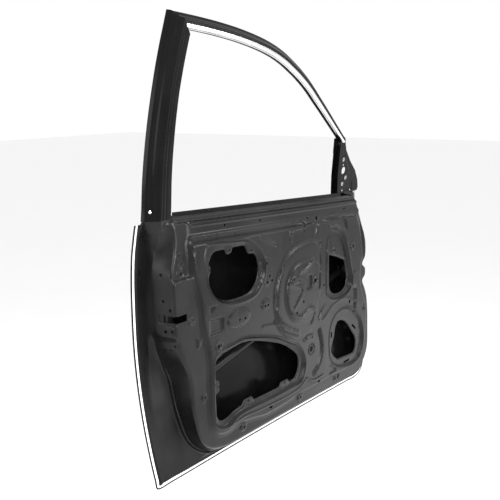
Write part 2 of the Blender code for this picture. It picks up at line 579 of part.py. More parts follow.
def build_inner_panel():
    """Make the stamped inner panel."""
    outline = inner_outline()
    creases = [(LATCH_PATCH, True), (FIELD, True), (inset(FIELD, FIELD_WALL), True)]
    for loop in POCKETS:
        creases += [(loop, True), (inset(loop, POCKET_WALL), True)]
    for loop in ROUNDS:
        creases += [(loop, True), (inset(loop, ROUND_WALL), True)]
    creases += belt_creases()
    holes = list(OPENINGS)
    for shares, radius in ((SMALL_HOLE_SHARES, SMALL_HOLE_RADIUS), (MEDIUM_HOLE_SHARES, MEDIUM_HOLE_RADIUS),
                           (LARGE_HOLE_SHARES, LARGE_HOLE_RADIUS)):
        holes += [circle(place(pair), radius) for pair in shares]
    flats = triangles(outline, creases, holes)
    faces = [[Vector((x, -face_depth(x, z), z)) for x, z in flat] for flat in flats]
    return thicken(new_object(surface(BORDER, faces), "inner_panel"), SHEET, -1.0)


def wall_spot(station, along, deep):
    """Give a point of the wall between the foot and the face, by shares from one station to the next."""
    corners = []
    for index in (station, station + 1):
        foot, face = BORDER[3][index], BORDER[4][index]
        corners.append(foot.lerp(face, deep))
    return corners[0].lerp(corners[1], along)


def wall_normal(station):
    """Give the direction that a flat stretch of the wall faces."""
    origin = wall_spot(station, 0.0, 0.0)
    across = wall_spot(station, 1.0, 0.0) - origin
    inboard = wall_spot(station, 0.0, 1.0) - origin
    return across.cross(inboard).normalized()


def wall_plate(station, margin, back, thickness, name, finish=BLACK_COAT):
    """Make a plate that lies behind a flat stretch of the wall, a margin inside its edges."""
    low = wall_spot(station, 0.0, 0.0)
    length = (wall_spot(station, 1.0, 0.0) - low).length
    depth = (wall_spot(station, 0.0, 1.0) - low).length
    normal = wall_normal(station)
    shares = [(margin / length, margin / depth), (1.0 - margin / length, margin / depth),
              (1.0 - margin / length, 1.0 - margin / depth), (margin / length, 1.0 - margin / depth)]
    front = [wall_spot(station, *pair) - normal * back for pair in shares]
    rear = [point - normal * thickness for point in front]
    mesh = bmesh.new()
    fore = [mesh.verts.new(point) for point in front]
    aft = [mesh.verts.new(point) for point in rear]
    mesh.faces.new(fore)
    mesh.faces.new(aft[::-1])
    for index in range(4):
        after = (index + 1) % 4
        mesh.faces.new((fore[after], fore[index], aft[index], aft[after]))
    return new_object(mesh, name, finish)


def tube(start, end, radius, bore, sides):
    """Give a tube between two points."""
    turn = (end - start).to_track_quat("Z", "Y").to_matrix()
    turns = [math.tau * step / sides for step in range(sides + 1)]
    rings = []
    for size, base in ((radius, start), (radius, end), (bore, end), (bore, start), (radius, start)):
        rings.append([base + turn @ Vector((math.cos(t) * size, math.sin(t) * size, 0.0)) for t in turns])
    return surface(rings)


def rods(ends, radius):
    """Join several rods into one cutter."""
    mesh = bmesh.new()
    for start, end in ends:
        rod = rod_mesh(start, end, radius)
        data = bpy.data.meshes.new("rod")
        rod.to_mesh(data)
        rod.free()
        mesh.from_mesh(data)
        bpy.data.meshes.remove(data)
    return mesh


def guide(mesh, name):
    """Turn a bmesh into a cutter on the root."""
    data = bpy.data.meshes.new(name)
    mesh.to_mesh(data)
    mesh.free()
    obj = bpy.data.objects.new(name, data)
    bpy.context.scene.collection.objects.link(obj)
    obj.parent = ROOT
    return obj


def hinge_bolts(station):
    """Give the two bolt axes of a hinge, as rods through its wall and plates."""
    normal = wall_normal(station)
    axes = []
    for along in (0.25, 0.75):
        spot = wall_spot(station, along, 0.5)
        axes.append((spot + normal * PLATE, spot - normal * (TAPPING_PLATE + PLATE * 2.0 + SHEET)))
    return axes


def latch_cutters():
    """Give the slot of the latch and its screw holes."""
    x, z = place(LATCH_SLOT_SHARE)
    low = (x - OVERRUN, -PANEL_DEPTH - OVERRUN, z - LATCH_SLOT_HEIGHT / 2.0)
    high = (x + LATCH_SLOT_REACH, LATCH_SLOT_DEPTH - PANEL_DEPTH, z + LATCH_SLOT_HEIGHT / 2.0)
    slot = guide(box_mesh(low, high), "latch_slot")
    normal = wall_normal(LATCH_STATION)
    ends = []
    for pair in LATCH_HOLE_SHARES:
        spot = wall_spot(LATCH_STATION, *pair)
        ends.append((spot + normal * PLATE, spot - normal * (PLATE * 2.0 + SHEET)))
    return slot, guide(rods(ends, LATCH_HOLE_RADIUS), "latch_screws")


def glass_y(z):
    """Give the outboard side of the glass run, which follows the frame and is drawn out below the belt."""
    if z >= BODY_HEIGHT:
        return frame_y(z)
    return -FRAME_SET + GLASS_DRAW * (1.0 - z / BODY_HEIGHT)


def sweep(edge, section, width, depth, side_y, ends=(None, None)):
    """Give the rows of a rolled section along an edge line.

    The section's first share runs to the left of the edge and its second share inboard. An end
    direction turns that end's cut.
    """
    rows = []
    left = normals(edge, False)
    for index, end in ((0, ends[0]), (len(edge) - 1, ends[1])):
        if end is not None:
            left[index] = Vector(end) / max(Vector(end).dot(left[index].normalized()), 0.2)
    for (x, z), normal in zip(edge, left):
        row = []
        for across, inboard in section:
            spot_x = x + normal.x * width * across
            spot_z = z + normal.y * width * across
            row.append(Vector((spot_x, side_y(spot_z) - depth * inboard, spot_z)))
        rows.append(row)
    return rows


def frame_edges():
    """Give the outer edges of the two frame legs, which meet at the upper rear corner."""
    corner = frame_place(CORNER_SHARE)
    rear = [frame_place(pair) for pair in REAR_EDGE_SHARES]
    foot = (rear[0][0], FACE_LINE[0][1] + GAP * 2.0)
    header = [frame_place(pair) for pair in HEADER_EDGE_SHARES]
    top = header[0]
    middle = Vector((top[0] - corner[0], top[1] - corner[1])).normalized()
    down = Vector((rear[-1][0] - corner[0], rear[-1][1] - corner[1])).normalized()
    mitre = (middle + down).normalized()
    return [foot] + rear, corner, header, mitre


def beyond(corner, normal, name):
    """Make a cutter that takes away what lies on one side of the mitre."""
    reach = PANEL_DEPTH
    turn = Vector((normal.x, 0.0, normal.y)).to_track_quat("Z", "Y").to_matrix()
    middle = Vector((corner[0], frame_y(corner[1]) - SASH_DEPTH / 2.0, corner[1]))
    mesh = box_mesh((-reach, -reach, -GAP), (reach, reach, reach))
    for vert in mesh.verts:
        vert.co = turn @ vert.co + middle
    return guide(mesh, name)


def build_frame():
    """Make the two legs of the window frame, mitred at the corner."""
    rear, corner, header, mitre = frame_edges()
    across = Vector((-mitre.y, mitre.x))
    tip = Vector(corner)
    ahead = (Vector(header[0]) - tip).normalized()
    down = (Vector(rear[-1]) - tip).normalized()
    line = [tuple(tip - down * FRAME_SHEET * 2.0)] + rear[::-1]
    rows = sweep(line, SASH_SECTION_SHARES, SASH_WIDTH, SASH_DEPTH, frame_y, (mitre, LEVEL))
    sash = thicken(new_object(surface(rows), "rear_sash"), FRAME_SHEET, 1.0)
    cut(sash, beyond(corner, across, "sash_mitre"), True)

    line = header[::-1] + [tuple(tip - ahead * FRAME_SHEET * 2.0)]
    rows = sweep(line, HEADER_SECTION_SHARES, HEADER_WIDTH, HEADER_DEPTH, frame_y, (None, mitre))
    rail = thicken(new_object(surface(rows), "header_sash"), FRAME_SHEET, 1.0)
    cut(rail, beyond(corner, -across, "header_mitre"), True)


def header_end():
    """Give the outer and inner corner of the header's front end, and its direction there."""
    before, last = [Vector(frame_place(pair)) for pair in HEADER_EDGE_SHARES[-2:]]
    ahead = (last - before).normalized()
    return last, last + Vector((ahead.y, -ahead.x)) * HEADER_WIDTH, ahead


def build_division_channel():
    """Make the channel that guides the front edge of the glass."""
    line = [frame_place(pair) for pair in DIVISION_SHARES]
    outer, inner, ahead = header_end()
    x = line[0][0]
    line[0] = (x, inner.y + (x - inner.x) * ahead.y / ahead.x - GAP * 2.0 - FRAME_SHEET)
    rows = sweep(line, DIVISION_SECTION_SHARES, CHANNEL_WIDTH, CHANNEL_DEPTH, glass_y, (ahead, LEVEL))
    thicken(new_object(surface(rows), "division_channel"), FRAME_SHEET, 0.0)


def build_rear_glass_channel():
    """Make the lower run of the glass behind the latch wall."""
    line = [place(pair) for pair in GLASS_CHANNEL_SHARES]
    rows = sweep(line, GLASS_CHANNEL_SECTION_SHARES, GLASS_CHANNEL_WIDTH, GLASS_CHANNEL_DEPTH, rear_run_y,
                 (LEVEL, LEVEL))
    thicken(new_object(surface(rows), "rear_glass_channel"), FRAME_SHEET, 0.0)


def rear_run_y(z):
    """Give the outboard side of the rear glass run."""
    return glass_y(z) - SASH_DEPTH / 4.0


def bracket(name, x, z, near, far):
    """Make a pressed bracket with a foot at each end, from one depth to another."""
    half = BRACKET_HEIGHT / 4.0
    foot = BRACKET_HEIGHT / 3.0
    profile = [(x - foot * 0.7, near), (x, near), (x, far), (x + foot, far)]
    rows = [[Vector((px, py, pz)) for px, py in profile] for pz in (z - half, z + half)]
    thicken(new_object(surface(rows), name), PLATE, 0.0)


def sail_y(z):
    """Give the plane of the mirror sail."""
    return -SAIL_SET - SAIL_LEAN_SHARE * (z - BODY_HEIGHT)


def build_sail():
    """Make the mirror sail: a flat panel with a flange along its front edge, and its holes."""
    outer, inner, ahead = header_end()
    rim = [frame_place(pair) for pair in SAIL_SHARES]
    rim += [tuple(corner + ahead * GAP * 2.0) for corner in (outer, inner)]
    flat = inset(rim, SAIL_FLANGE / 4.0)
    holes = [circle(frame_place(pair), MIRROR_HOLE_RADIUS) for pair in MIRROR_HOLE_SHARES]
    holes.append(circle(frame_place(MIRROR_WIRE_SHARE), MIRROR_WIRE_RADIUS, 12))
    rim[:3], rim[-1] = flat[:3], flat[-1]
    faces = [[Vector((x, sail_y(z), z)) for x, z in corner] for corner in triangles(flat, [], holes)]
    edge = range(4, len(rim) - 1)
    outer = [Vector((rim[k][0], sail_y(rim[k][1]) + SAIL_FLANGE, rim[k][1])) for k in edge]
    inner = [Vector((flat[k][0], sail_y(flat[k][1]), flat[k][1])) for k in edge]
    thicken(new_object(surface([outer, inner], faces), "mirror_sail_panel"), FRAME_SHEET, -1.0)
    normal = Vector((0.0, 1.0, SAIL_LEAN_SHARE)).normalized()
    for number, pair in enumerate(MIRROR_HOLE_SHARES, 1):
        x, z = frame_place(pair)
        base = Vector((x, sail_y(z), z)) + normal * (FRAME_SHEET + GAP)
        mesh = tube(base, base + normal * NUT_HEIGHT, NUT_RADIUS, NUT_BORE_RADIUS, 6)
        new_object(mesh, "mirror_weld_nut_%d" % number, ZINC)


def build_outer_panel():
    """Make the skin: its face, the folded hem round three sides, the handle recess and its holes."""
    steps = 10
    rear, front = HEM_LINE[0], HEM_LINE[-1]
    top = []
    for step in range(1, steps):
        top.append((mix(front[0], rear[0], step / steps), mix(front[1], rear[1], step / steps)))
    lip = offset(HEM_LINE, HEM_WIDTH, False)
    creases = [(lip, False)] + [([a, b], False) for a, b in zip(HEM_LINE, lip)]
    recess = place(HANDLE_SHARE)
    extra = []
    columns, rows = 14, 22
    for row in range(1, rows):
        for column in range(1, columns):
            spot = (BODY_LENGTH * column / columns, BODY_HEIGHT * row / rows)
            clear = math.hypot(spot[0] - recess[0], spot[1] - recess[1]) > HANDLE_DISH_RADIUS
            below = spot[1] < skin_top(spot[0]) - BELT_OUTER_HEIGHT - HEM_WIDTH
            if distance(spot, lip + top) > HEM_WIDTH and clear and below:
                extra.append(spot)
    first, last = outer_belt_ends()
    for step in range(BELT_STEPS + 1):
        x = mix(first, last, step / BELT_STEPS)
        extra += [(x, skin_top(x) - BELT_OUTER_HEIGHT * share) for share in (0.2, 0.4, 0.7, 1.0)]
    for share in (0.0, 0.3, 0.6, 0.85, 1.0):
        extra += circle(recess, HANDLE_DISH_RADIUS * share, 16)[:16 if share else 1]
    holes = []
    for pair in (HANDLE_REAR_HOLE_SHARE, HANDLE_FRONT_HOLE_SHARE):
        holes.append(circle(place(pair), HANDLE_HOLE_RADIUS, 12))
    faces = []
    for corners in triangles(HEM_LINE + top, creases, holes, extra):
        faces.append([Vector((x, dished_y(x, z) - SHEET / 2.0, z)) for x, z in corners])
    fold = [Vector((x, skin_y(x, z) - SHEET / 2.0, z)) for x, z in HEM_LINE]
    back = [Vector((x, flange_y(x, z) - GAP - SHEET / 2.0, z)) for x, z in HEM_LINE]
    turned = offset(HEM_LINE, HEM_WIDTH - OVERRUN, False)
    tongue = [Vector((x, flange_y(x, z) - GAP - SHEET / 2.0, z)) for x, z in turned]
    hem = [row[::-1] for row in (fold, back, tongue)]
    thicken(new_object(surface(hem, faces), "outer_panel"), SHEET, 0.0)


def dished_y(x, z):
    """Give the outer face of the skin with the hand recess behind the handle."""
    centre = place(HANDLE_SHARE)
    reach = clamp(math.hypot(x - centre[0], z - centre[1]) / HANDLE_DISH_RADIUS)
    return skin_y(x, z) - HANDLE_RECESS * (1.0 - reach * reach) ** 2


def strip_rows(first, last, profile, top_z, side_y, steps):
    """Give the rows of a strip along the belt, from its profile of drop and inboard distance."""
    rows = []
    for drop, inboard in profile:
        row = []
        for step in range(steps + 1):
            x = mix(first, last, step / steps)
            z = top_z(x) - drop
            row.append(Vector((x, side_y(x, z) - inboard, z)))
        rows.append(row)
    return rows


def skin_top(x):
    """Give the upper edge of the skin."""
    rear, front = HEM_LINE[0], HEM_LINE[-1]
    return mix(rear[1], front[1], (x - rear[0]) / (front[0] - rear[0]))


def outer_belt_ends():
    """Give the first and last x of the outer belt strip, clear of the inner panel's walls."""
    return FACE_LINE[0][0] + OVERRUN, FOOT_LINE[-1][0] - HEM_WIDTH


def build_belt():
    """Make the two belt reinforcements."""
    height, rib = BELT_OUTER_HEIGHT, BELT_OUTER_RIB
    near = SHEET + GAP * 2.0
    profile = [(OVERRUN, near + rib), (OVERRUN, near), (height * 0.4, near), (height * 0.5, near + rib),
               (height * 0.8, near + rib), (height * 0.9, near), (height, near)]
    rows = strip_rows(*outer_belt_ends(), profile, skin_top, skin_y, BELT_STEPS)
    thicken(new_object(surface(rows), "belt_outer_reinforcement"), FRAME_SHEET, -1.0)

    height, rib = BELT_INNER_HEIGHT, BELT_INNER_RIB
    profile = [(0.0, 0.0), (height * 0.4, 0.0), (height * 0.5, -rib), (height * 0.8, -rib),
               (height * 0.9, 0.0), (height, 0.0)]
    first = FACE_LINE[0][0] + NECK_REACH + OVERRUN
    last = frame_place(DIVISION_SHARES[3])[0] - OVERRUN
    face = -BELT_DEPTH + SHEET + GAP + FRAME_SHEET
    rows = strip_rows(first, last, profile, belt_z, lambda x, z: face, 10)
    thicken(new_object(surface(rows), "belt_inner_reinforcement"), FRAME_SHEET, -1.0)


def beam_ends():
    """Give the two ends of the beam's axis, which runs inside the skin."""
    ends = []
    wall = wall_spot(CHECK_STATION, 0.5, 0.5)
    for x, z in (place(BEAM_REAR_SHARE), (wall.x - BEAM_END_SET, place(BEAM_FRONT_SHARE)[1])):
        ends.append(Vector((x, skin_y(x, z) - SHEET - BEAM_CLEARANCE - BEAM_RADIUS, z)))
    return ends


def build_beam():
    """Make the side beam, its brackets and the pads between it and the skin."""
    start, end = beam_ends()
    new_object(tube(start, end, BEAM_RADIUS, BEAM_RADIUS - BEAM_WALL, 16), "side_impact_beam")

    for point, name, way in ((start, "beam_rear_bracket", 1.0), (end, "beam_front_bracket", -1.0)):
        y = point.y - BEAM_RADIUS - GAP
        reach = point.x - way * BRACKET_LENGTH / 2.0
        low = (min(reach, reach + way * BRACKET_LENGTH), y - PLATE, point.z - BRACKET_HEIGHT / 2.0)
        high = (max(reach, reach + way * BRACKET_LENGTH), y, point.z + BRACKET_HEIGHT / 2.0)
        new_object(box_mesh(low, high), name)

    for number, share in enumerate(MASTIC_PLACE_SHARES, 1):
        centre = start.lerp(end, share)
        low = centre + Vector((-MASTIC_LENGTH / 2.0, BEAM_RADIUS + GAP, -MASTIC_HEIGHT / 2.0))
        high = centre + Vector((MASTIC_LENGTH / 2.0, BEAM_RADIUS + OVERRUN, MASTIC_HEIGHT / 2.0))
        mesh = box_mesh(low, high)
        middle = centre.y + BEAM_RADIUS + OVERRUN / 2.0
        for vert in mesh.verts:
            if vert.co.y > middle:
                vert.co.y = skin_y(vert.co.x, vert.co.z) - SHEET - GAP * 2.0
        new_object(mesh, "mastic_pad_%d" % number, MASTIC)


def build_wall_plates():
    """Make the plates behind the hinge, check link and latch faces."""
    for station, name in ((UPPER_HINGE_STATION, "upper_hinge"), (LOWER_HINGE_STATION, "lower_hinge")):
        bolts = guide(rods(hinge_bolts(station), HINGE_HOLE_RADIUS), name + "_bolts")
        back = SHEET + GAP
        plate = wall_plate(station, HINGE_MARGIN, back, PLATE, name + "_reinforcement")
        cut(plate, bolts)
        behind = back + PLATE + GAP
        block = wall_plate(
            station, HINGE_MARGIN * 1.5, behind, TAPPING_PLATE, name + "_tapping_plate", ZINC)
        cut(block, bolts)
        cut(PARTS["inner_panel"], bolts)
    plate = wall_plate(CHECK_STATION, OVERRUN, SHEET + GAP, PLATE, "check_link_reinforcement")
    middle = wall_spot(CHECK_STATION, 0.5, 0.5)
    reach = Vector((PLATE * 3.0, CHECK_SLOT_LENGTH / 2.0, CHECK_SLOT_HEIGHT / 2.0))
    slot = guide(box_mesh(middle - reach, middle + reach), "check_link_slot")
    cut(plate, slot)
    cut(PARTS["inner_panel"], slot)
    slot, screws = latch_cutters()
    plate = wall_plate(LATCH_STATION, LATCH_PLATE_MARGIN, SHEET + GAP, PLATE, "latch_reinforcement")
    for obj in (plate, PARTS["inner_panel"]):
        cut(obj, slot)
        cut(obj, screws)


def build_handle_plate():
    """Make the plate behind the front fixing of the outer handle."""
    x, z = place(HANDLE_FRONT_HOLE_SHARE)
    hole = circle((x, z), HANDLE_HOLE_RADIUS, 12)
    half_x, half_z = HANDLE_PLATE_LENGTH / 2.0, HANDLE_PLATE_HEIGHT / 2.0
    low, high = (x - half_x, z - half_z), (x + half_x, z + half_z)
    outline = [low, (high[0], low[1]), high, (low[0], high[1])]
    extra = []
    for share in (0.25, 0.5, 0.75):
        extra += [(mix(low[0], high[0], side), mix(low[1], high[1], share)) for side in (0.05, 0.95)]
    near = SHEET + GAP * 2.0
    faces = []
    for corners in triangles(outline, [], [hole], extra):
        faces.append([Vector((px, skin_y(px, pz) - near, pz)) for px, pz in corners])
    thicken(new_object(surface([], faces), "outer_handle_reinforcement"), FRAME_SHEET, 1.0)


def build_run_brackets():
    """Make the brackets that carry the feet of the two glass runs."""
    x, z = place(GLASS_CHANNEL_SHARES[3])
    near = rear_run_y(z) - GLASS_CHANNEL_DEPTH - FRAME_SHEET / 2.0 - GAP - PLATE / 2.0
    middle = x + GLASS_CHANNEL_WIDTH * 0.9
    depth = face_depth(middle + BRACKET_HEIGHT / 3.0, z)
    bracket("rear_channel_bracket", middle, z, near, -depth + SHEET + GAP + PLATE / 2.0)

    x, z = frame_place(DIVISION_SHARES[-1])
    z += BRACKET_HEIGHT / 3.0
    near = glass_y(z) - CHANNEL_DEPTH - FRAME_SHEET / 2.0 - GAP - PLATE / 2.0
    depth = face_depth(x + CHANNEL_WIDTH * 2.0, z)
    bracket("front_channel_bracket", x + CHANNEL_WIDTH, z, near, -depth + SHEET + GAP + PLATE / 2.0)


def clear_scene():
    """Remove what the file holds."""
    for obj in list(bpy.data.objects):
        bpy.data.objects.remove(obj, do_unlink=True)


clear_scene()
BORDER = border_rows()
HINGE_CENTRE = wall_spot(UPPER_HINGE_STATION, 0.5, 0.5)
ROOT = bpy.data.objects.new("door_origin", None)
bpy.context.scene.collection.objects.link(ROOT)
ROOT.location = -HINGE_CENTRE
PARTS = {"inner_panel": build_inner_panel()}
build_outer_panel()
build_frame()
build_division_channel()
build_rear_glass_channel()
build_sail()
build_belt()
build_beam()
build_wall_plates()
build_handle_plate()
build_run_brackets()
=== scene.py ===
"""Studio scene of the bare shell of a left front car door, seen from behind and inside the car.

The pieces are drawn in the door's own axes: X to the front of the car, Y out of the car and Z up,
from the rear lower corner of the skin, in millimetres. Each finished mesh is then moved into the
frame's axes, in metres.
"""
import logging
import math
from dataclasses import dataclass
from enum import Enum
from typing import Any, Sequence

import bmesh
import bpy
import numpy as np
from mathutils import Matrix, Vector
from mathutils.geometry import delaunay_2d_cdt


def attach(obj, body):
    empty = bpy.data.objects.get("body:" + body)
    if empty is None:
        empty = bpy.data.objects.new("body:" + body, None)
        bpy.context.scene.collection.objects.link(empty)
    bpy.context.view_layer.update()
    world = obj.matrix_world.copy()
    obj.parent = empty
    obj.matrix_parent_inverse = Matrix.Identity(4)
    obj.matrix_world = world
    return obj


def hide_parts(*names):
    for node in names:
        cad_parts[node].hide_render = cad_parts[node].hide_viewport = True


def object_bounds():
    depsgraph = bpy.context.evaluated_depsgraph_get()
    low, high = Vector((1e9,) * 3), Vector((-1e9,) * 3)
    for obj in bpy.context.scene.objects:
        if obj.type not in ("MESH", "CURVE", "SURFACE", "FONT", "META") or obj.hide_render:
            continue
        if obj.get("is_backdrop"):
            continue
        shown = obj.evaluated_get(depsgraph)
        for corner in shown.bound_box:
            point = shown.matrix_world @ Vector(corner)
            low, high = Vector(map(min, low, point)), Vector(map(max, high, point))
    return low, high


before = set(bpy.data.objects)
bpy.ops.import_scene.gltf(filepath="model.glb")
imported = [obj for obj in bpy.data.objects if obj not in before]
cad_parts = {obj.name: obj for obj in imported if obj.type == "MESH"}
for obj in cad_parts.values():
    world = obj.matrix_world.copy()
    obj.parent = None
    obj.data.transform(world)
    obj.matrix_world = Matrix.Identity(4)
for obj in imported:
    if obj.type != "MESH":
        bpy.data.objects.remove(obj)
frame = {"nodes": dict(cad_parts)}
log = logging.getLogger("door_shell")

Spots = Sequence[tuple[float, float]]
MM = 0.001
ORIGIN = np.array((1061.973, -73.204, 459.990))
SHEET = 0.8
BODY_LENGTH, BODY_HEIGHT, WIDEST = 1122.0, 684.0, 430.0
# The skin's depth at its widest line, and what its foot, belt and front add to it
SKIN_BASE, SKIN_TUCK, SKIN_ROLL, SKIN_SWEEP = 4.0, 65.0, 21.4, 26.0
# The window frame's depth at the belt, its lean, its bend and its height
FRAME_BASE, FRAME_LEAN, FRAME_BEND, FRAME_HEIGHT = 50.0, 75.0, 52.0, 494.0
HEM_GAP = 0.3
# How near a net's corners come to its edge and to its holes
EDGE_CLEAR, HOLE_CLEAR = 1.2, 0.9
# The longest part of a line that gets marks, and the cells that thin them, as a share of their step
LONGEST_PART, CELL_SHARE = 60.0, 0.55
# The least steps between a chart's columns and rows, and how far it measures round a hole
LEAST_PACE, LEAST_RISE, PROBE = 2.0, 1.4, 3.0
WHITE = (1.0, 1.0, 1.0, 1.0)


def ease(value: np.ndarray) -> np.ndarray:
    """Give a smooth step from 0 to 1."""
    held = np.clip(value, 0.0, 1.0)
    return held * held * (3.0 - 2.0 * held)


def spline(points: Spots, step: float, closed: bool = True,
           counts: Sequence[int] | None = None) -> np.ndarray:
    """Draw a smooth line through points.

    Args:
        points: the places it passes through.
        step: about how far apart its own points lie.
        closed: whether it returns to its start.
        counts: how many parts each run gets, in place of the step.
    Returns:
        The line's points, one per row.
    """
    spots = np.array(points, float)
    count = len(spots)
    runs = count if closed else count - 1
    parts = []
    for run in range(runs):
        ids = [run - 1, run, run + 1, run + 2]
        ids = [i % count for i in ids] if closed else [min(max(i, 0), count - 1) for i in ids]
        a, b, c, d = spots[ids]
        size = max(np.linalg.norm(c - b), 1e-6)
        before = (c - a) * size / (size + max(np.linalg.norm(b - a), 1e-6))
        after = (d - b) * size / (size + max(np.linalg.norm(d - c), 1e-6))
        share = max(int(size / step), 1) if counts is None else int(counts[run])
        t = np.linspace(0.0, 1.0, share, endpoint=False)[:, None]
        square, cube = t * t, t * t * t
        parts.append((2 * cube - 3 * square + 1) * b + (cube - 2 * square + t) * before
                     + (3 * square - 2 * cube) * c + (cube - square) * after)
    if not closed:
        parts.append(spots[-1:])
    return np.concatenate(parts)


def oval(centre: tuple[float, float], wide: float, high: float, sides: int = 16) -> np.ndarray:
    """Draw an oval with the given half sizes."""
    turns = np.arange(sides) * math.tau / sides
    return np.stack([centre[0] + wide * np.cos(turns), centre[1] + high * np.sin(turns)], 1)


def slot(centre: tuple[float, float], length: float, width: float, turn: float) -> np.ndarray:
    """Draw a slot with round ends.

    Args:
        centre: its middle.
        length: its length over the ends.
        width: its width.
        turn: its turn from the X axis, in degrees.
    Returns:
        The slot's line.
    """
    half, run = width / 2.0, length / 2.0 - width / 2.0
    turns = np.linspace(-90.0, 90.0, 6) * math.pi / 180.0
    right = np.stack([run + half * np.cos(turns), half * np.sin(turns)], 1)
    loop = np.concatenate([right, -right])
    angle = math.radians(turn)
    spin = np.array([[math.cos(angle), math.sin(angle)], [-math.sin(angle), math.cos(angle)]])
    return loop @ spin + np.array(centre)


def offset(line: np.ndarray, width: float, closed: bool) -> np.ndarray:
    """Move a line to its left.

    Args:
        line: its points.
        width: how far it moves.
        closed: whether it returns to its start.
    Returns:
        The moved line.
    """
    before = np.roll(line, 1, 0)
    after = np.roll(line, -1, 0)
    if not closed:
        before[0], after[-1] = line[0], line[-1]
    run = after - before
    run = run / np.linalg.norm(run, axis=1)[:, None]
    return line + np.stack([-run[:, 1], run[:, 0]], 1) * width


def within(spots: np.ndarray, loop: np.ndarray) -> np.ndarray:
    """Tell which places lie inside a loop.

    Args:
        spots: the places.
        loop: the loop's points.
    Returns:
        A truth value for each place.
    """
    x, z = spots[:, 0], spots[:, 1]
    result = np.zeros(len(spots), bool)
    for (ax, az), (bx, bz) in zip(loop, np.roll(loop, -1, 0)):
        if az == bz:
            continue
        crossed = (az > z) != (bz > z)
        result ^= crossed & (x < ax + (z - az) * (bx - ax) / (bz - az))
    return result


def reach(spots: np.ndarray, line: np.ndarray, closed: bool, limit: float) -> np.ndarray:
    """Give the distance of places to a line, where it is under a limit.

    Args:
        spots: the places.
        line: the line's points.
        closed: whether it returns to its start.
        limit: how far the search goes.
    Returns:
        The distances, which are just over the limit where nothing is near.
    """
    best = np.full(len(spots), limit * 1.001)
    ends = np.roll(line, -1, 0)
    last = len(line) if closed else len(line) - 1
    for start, end in zip(line[:last], ends[:last]):
        low, high = np.minimum(start, end) - limit, np.maximum(start, end) + limit
        near = np.flatnonzero(((spots >= low) & (spots <= high)).all(1))
        if not len(near):
            continue
        run = end - start
        gap = spots[near] - start
        along = np.clip(gap @ run / max(run @ run, 1e-9), 0.0, 1.0)
        found = np.linalg.norm(gap - along[:, None] * run, axis=1)
        best[near] = np.minimum(best[near], found)
    return best


@dataclass
class Step:
    """A raised or sunk field of a pressed sheet, bounded by a sloping wall."""

    loop: np.ndarray
    rise: float
    wall: float
    margin: float = 3.0

    def height(self, spots: np.ndarray) -> np.ndarray:
        """Give how far the field lifts each place."""
        gap = reach(spots, self.loop, True, self.wall)
        return self.rise * ease(gap / self.wall) * within(spots, self.loop)

    def fine(self, spots: np.ndarray) -> np.ndarray:
        """Tell which places need a fine net."""
        limit = self.wall + self.margin
        return reach(spots, self.loop, True, limit) < limit

    def guides(self) -> list[np.ndarray]:
        """Give the lines that the net follows."""
        return [offset(self.loop, self.turn() * self.wall * share, True) for share in (0.0, 0.33, 0.67, 1.0)]

    def turn(self) -> float:
        """Tell which way round the loop runs, so that its inside is found."""
        x, z = self.loop[:, 0], self.loop[:, 1]
        return 1.0 if (x * np.roll(z, -1) - np.roll(x, -1) * z).sum() > 0.0 else -1.0


@dataclass
class Ridge:
    """A raised or sunk bead along a line."""

    line: np.ndarray
    rise: float
    half: float
    closed: bool = False
    margin: float = 2.0

    def height(self, spots: np.ndarray) -> np.ndarray:
        """Give how far the bead lifts each place."""
        gap = reach(spots, self.line, self.closed, self.half)
        return self.rise * ease(1.0 - gap / self.half)

    def fine(self, spots: np.ndarray) -> np.ndarray:
        """Tell which places need a fine net."""
        limit = self.half + self.margin
        return reach(spots, self.line, self.closed, limit) < limit

    def guides(self) -> list[np.ndarray]:
        """Give the lines that the net follows."""
        lines = [offset(self.line, self.half * share, self.closed) for share in (-1.0, -0.5, 0.5, 1.0)]
        return lines + [self.line]


def skin_depth(spots: np.ndarray) -> np.ndarray:
    """Give how far inboard the skin's outer face lies.

    Args:
        spots: places seen from the side.
    Returns:
        One depth for each place.
    """
    x, z = spots[:, 0], spots[:, 1]
    low = SKIN_TUCK * (np.clip(WIDEST - z, 0.0, None) / WIDEST) ** 2
    high = SKIN_ROLL * (np.clip(z - WIDEST, 0.0, None) / (BODY_HEIGHT - WIDEST)) ** 3
    return SKIN_BASE + low + high + SKIN_SWEEP * (x / BODY_LENGTH) ** 2


def flange_depth(spots: np.ndarray) -> np.ndarray:
    """Give the inboard face of the hem flange."""
    return skin_depth(spots) + 2.0 * SHEET + HEM_GAP


def frame_depth(z: np.ndarray) -> np.ndarray:
    """Give the leaning outer face of the window frame."""
    rise = (z - BODY_HEIGHT) / FRAME_HEIGHT
    return FRAME_BASE + FRAME_LEAN * rise + FRAME_BEND * rise * np.abs(rise)


def net(outline: np.ndarray, holes: list[np.ndarray], spots: np.ndarray) -> tuple[np.ndarray, np.ndarray]:
    """Cover an outline with triangles.

    Args:
        outline: the sheet's edge.
        holes: loops that stay open.
        spots: places inside that become corners.
    Returns:
        The corners' places, and three of them for each triangle.
    """
    keep = within(spots, outline) & (reach(spots, outline, True, EDGE_CLEAR) > EDGE_CLEAR)
    for hole in holes:
        keep &= ~within(spots, hole) & (reach(spots, hole, True, HOLE_CLEAR) > HOLE_CLEAR)
    points = [Vector(place) for place in outline]
    edges = [(i, (i + 1) % len(outline)) for i in range(len(outline))]
    for hole in holes:
        first = len(points)
        points += [Vector(place) for place in hole]
        edges += [(first + i, first + (i + 1) % len(hole)) for i in range(len(hole))]
    points += [Vector(place) for place in spots[keep]]
    found, _, faces, *_ = delaunay_2d_cdt(points, edges, [], 0, 1e-4)
    corners = np.array([tuple(place) for place in found])
    faces = np.array(faces)
    middle = corners[faces].mean(1)
    shown = within(middle, outline)
    for hole in holes:
        shown &= ~within(middle, hole)
    return corners, faces[shown]


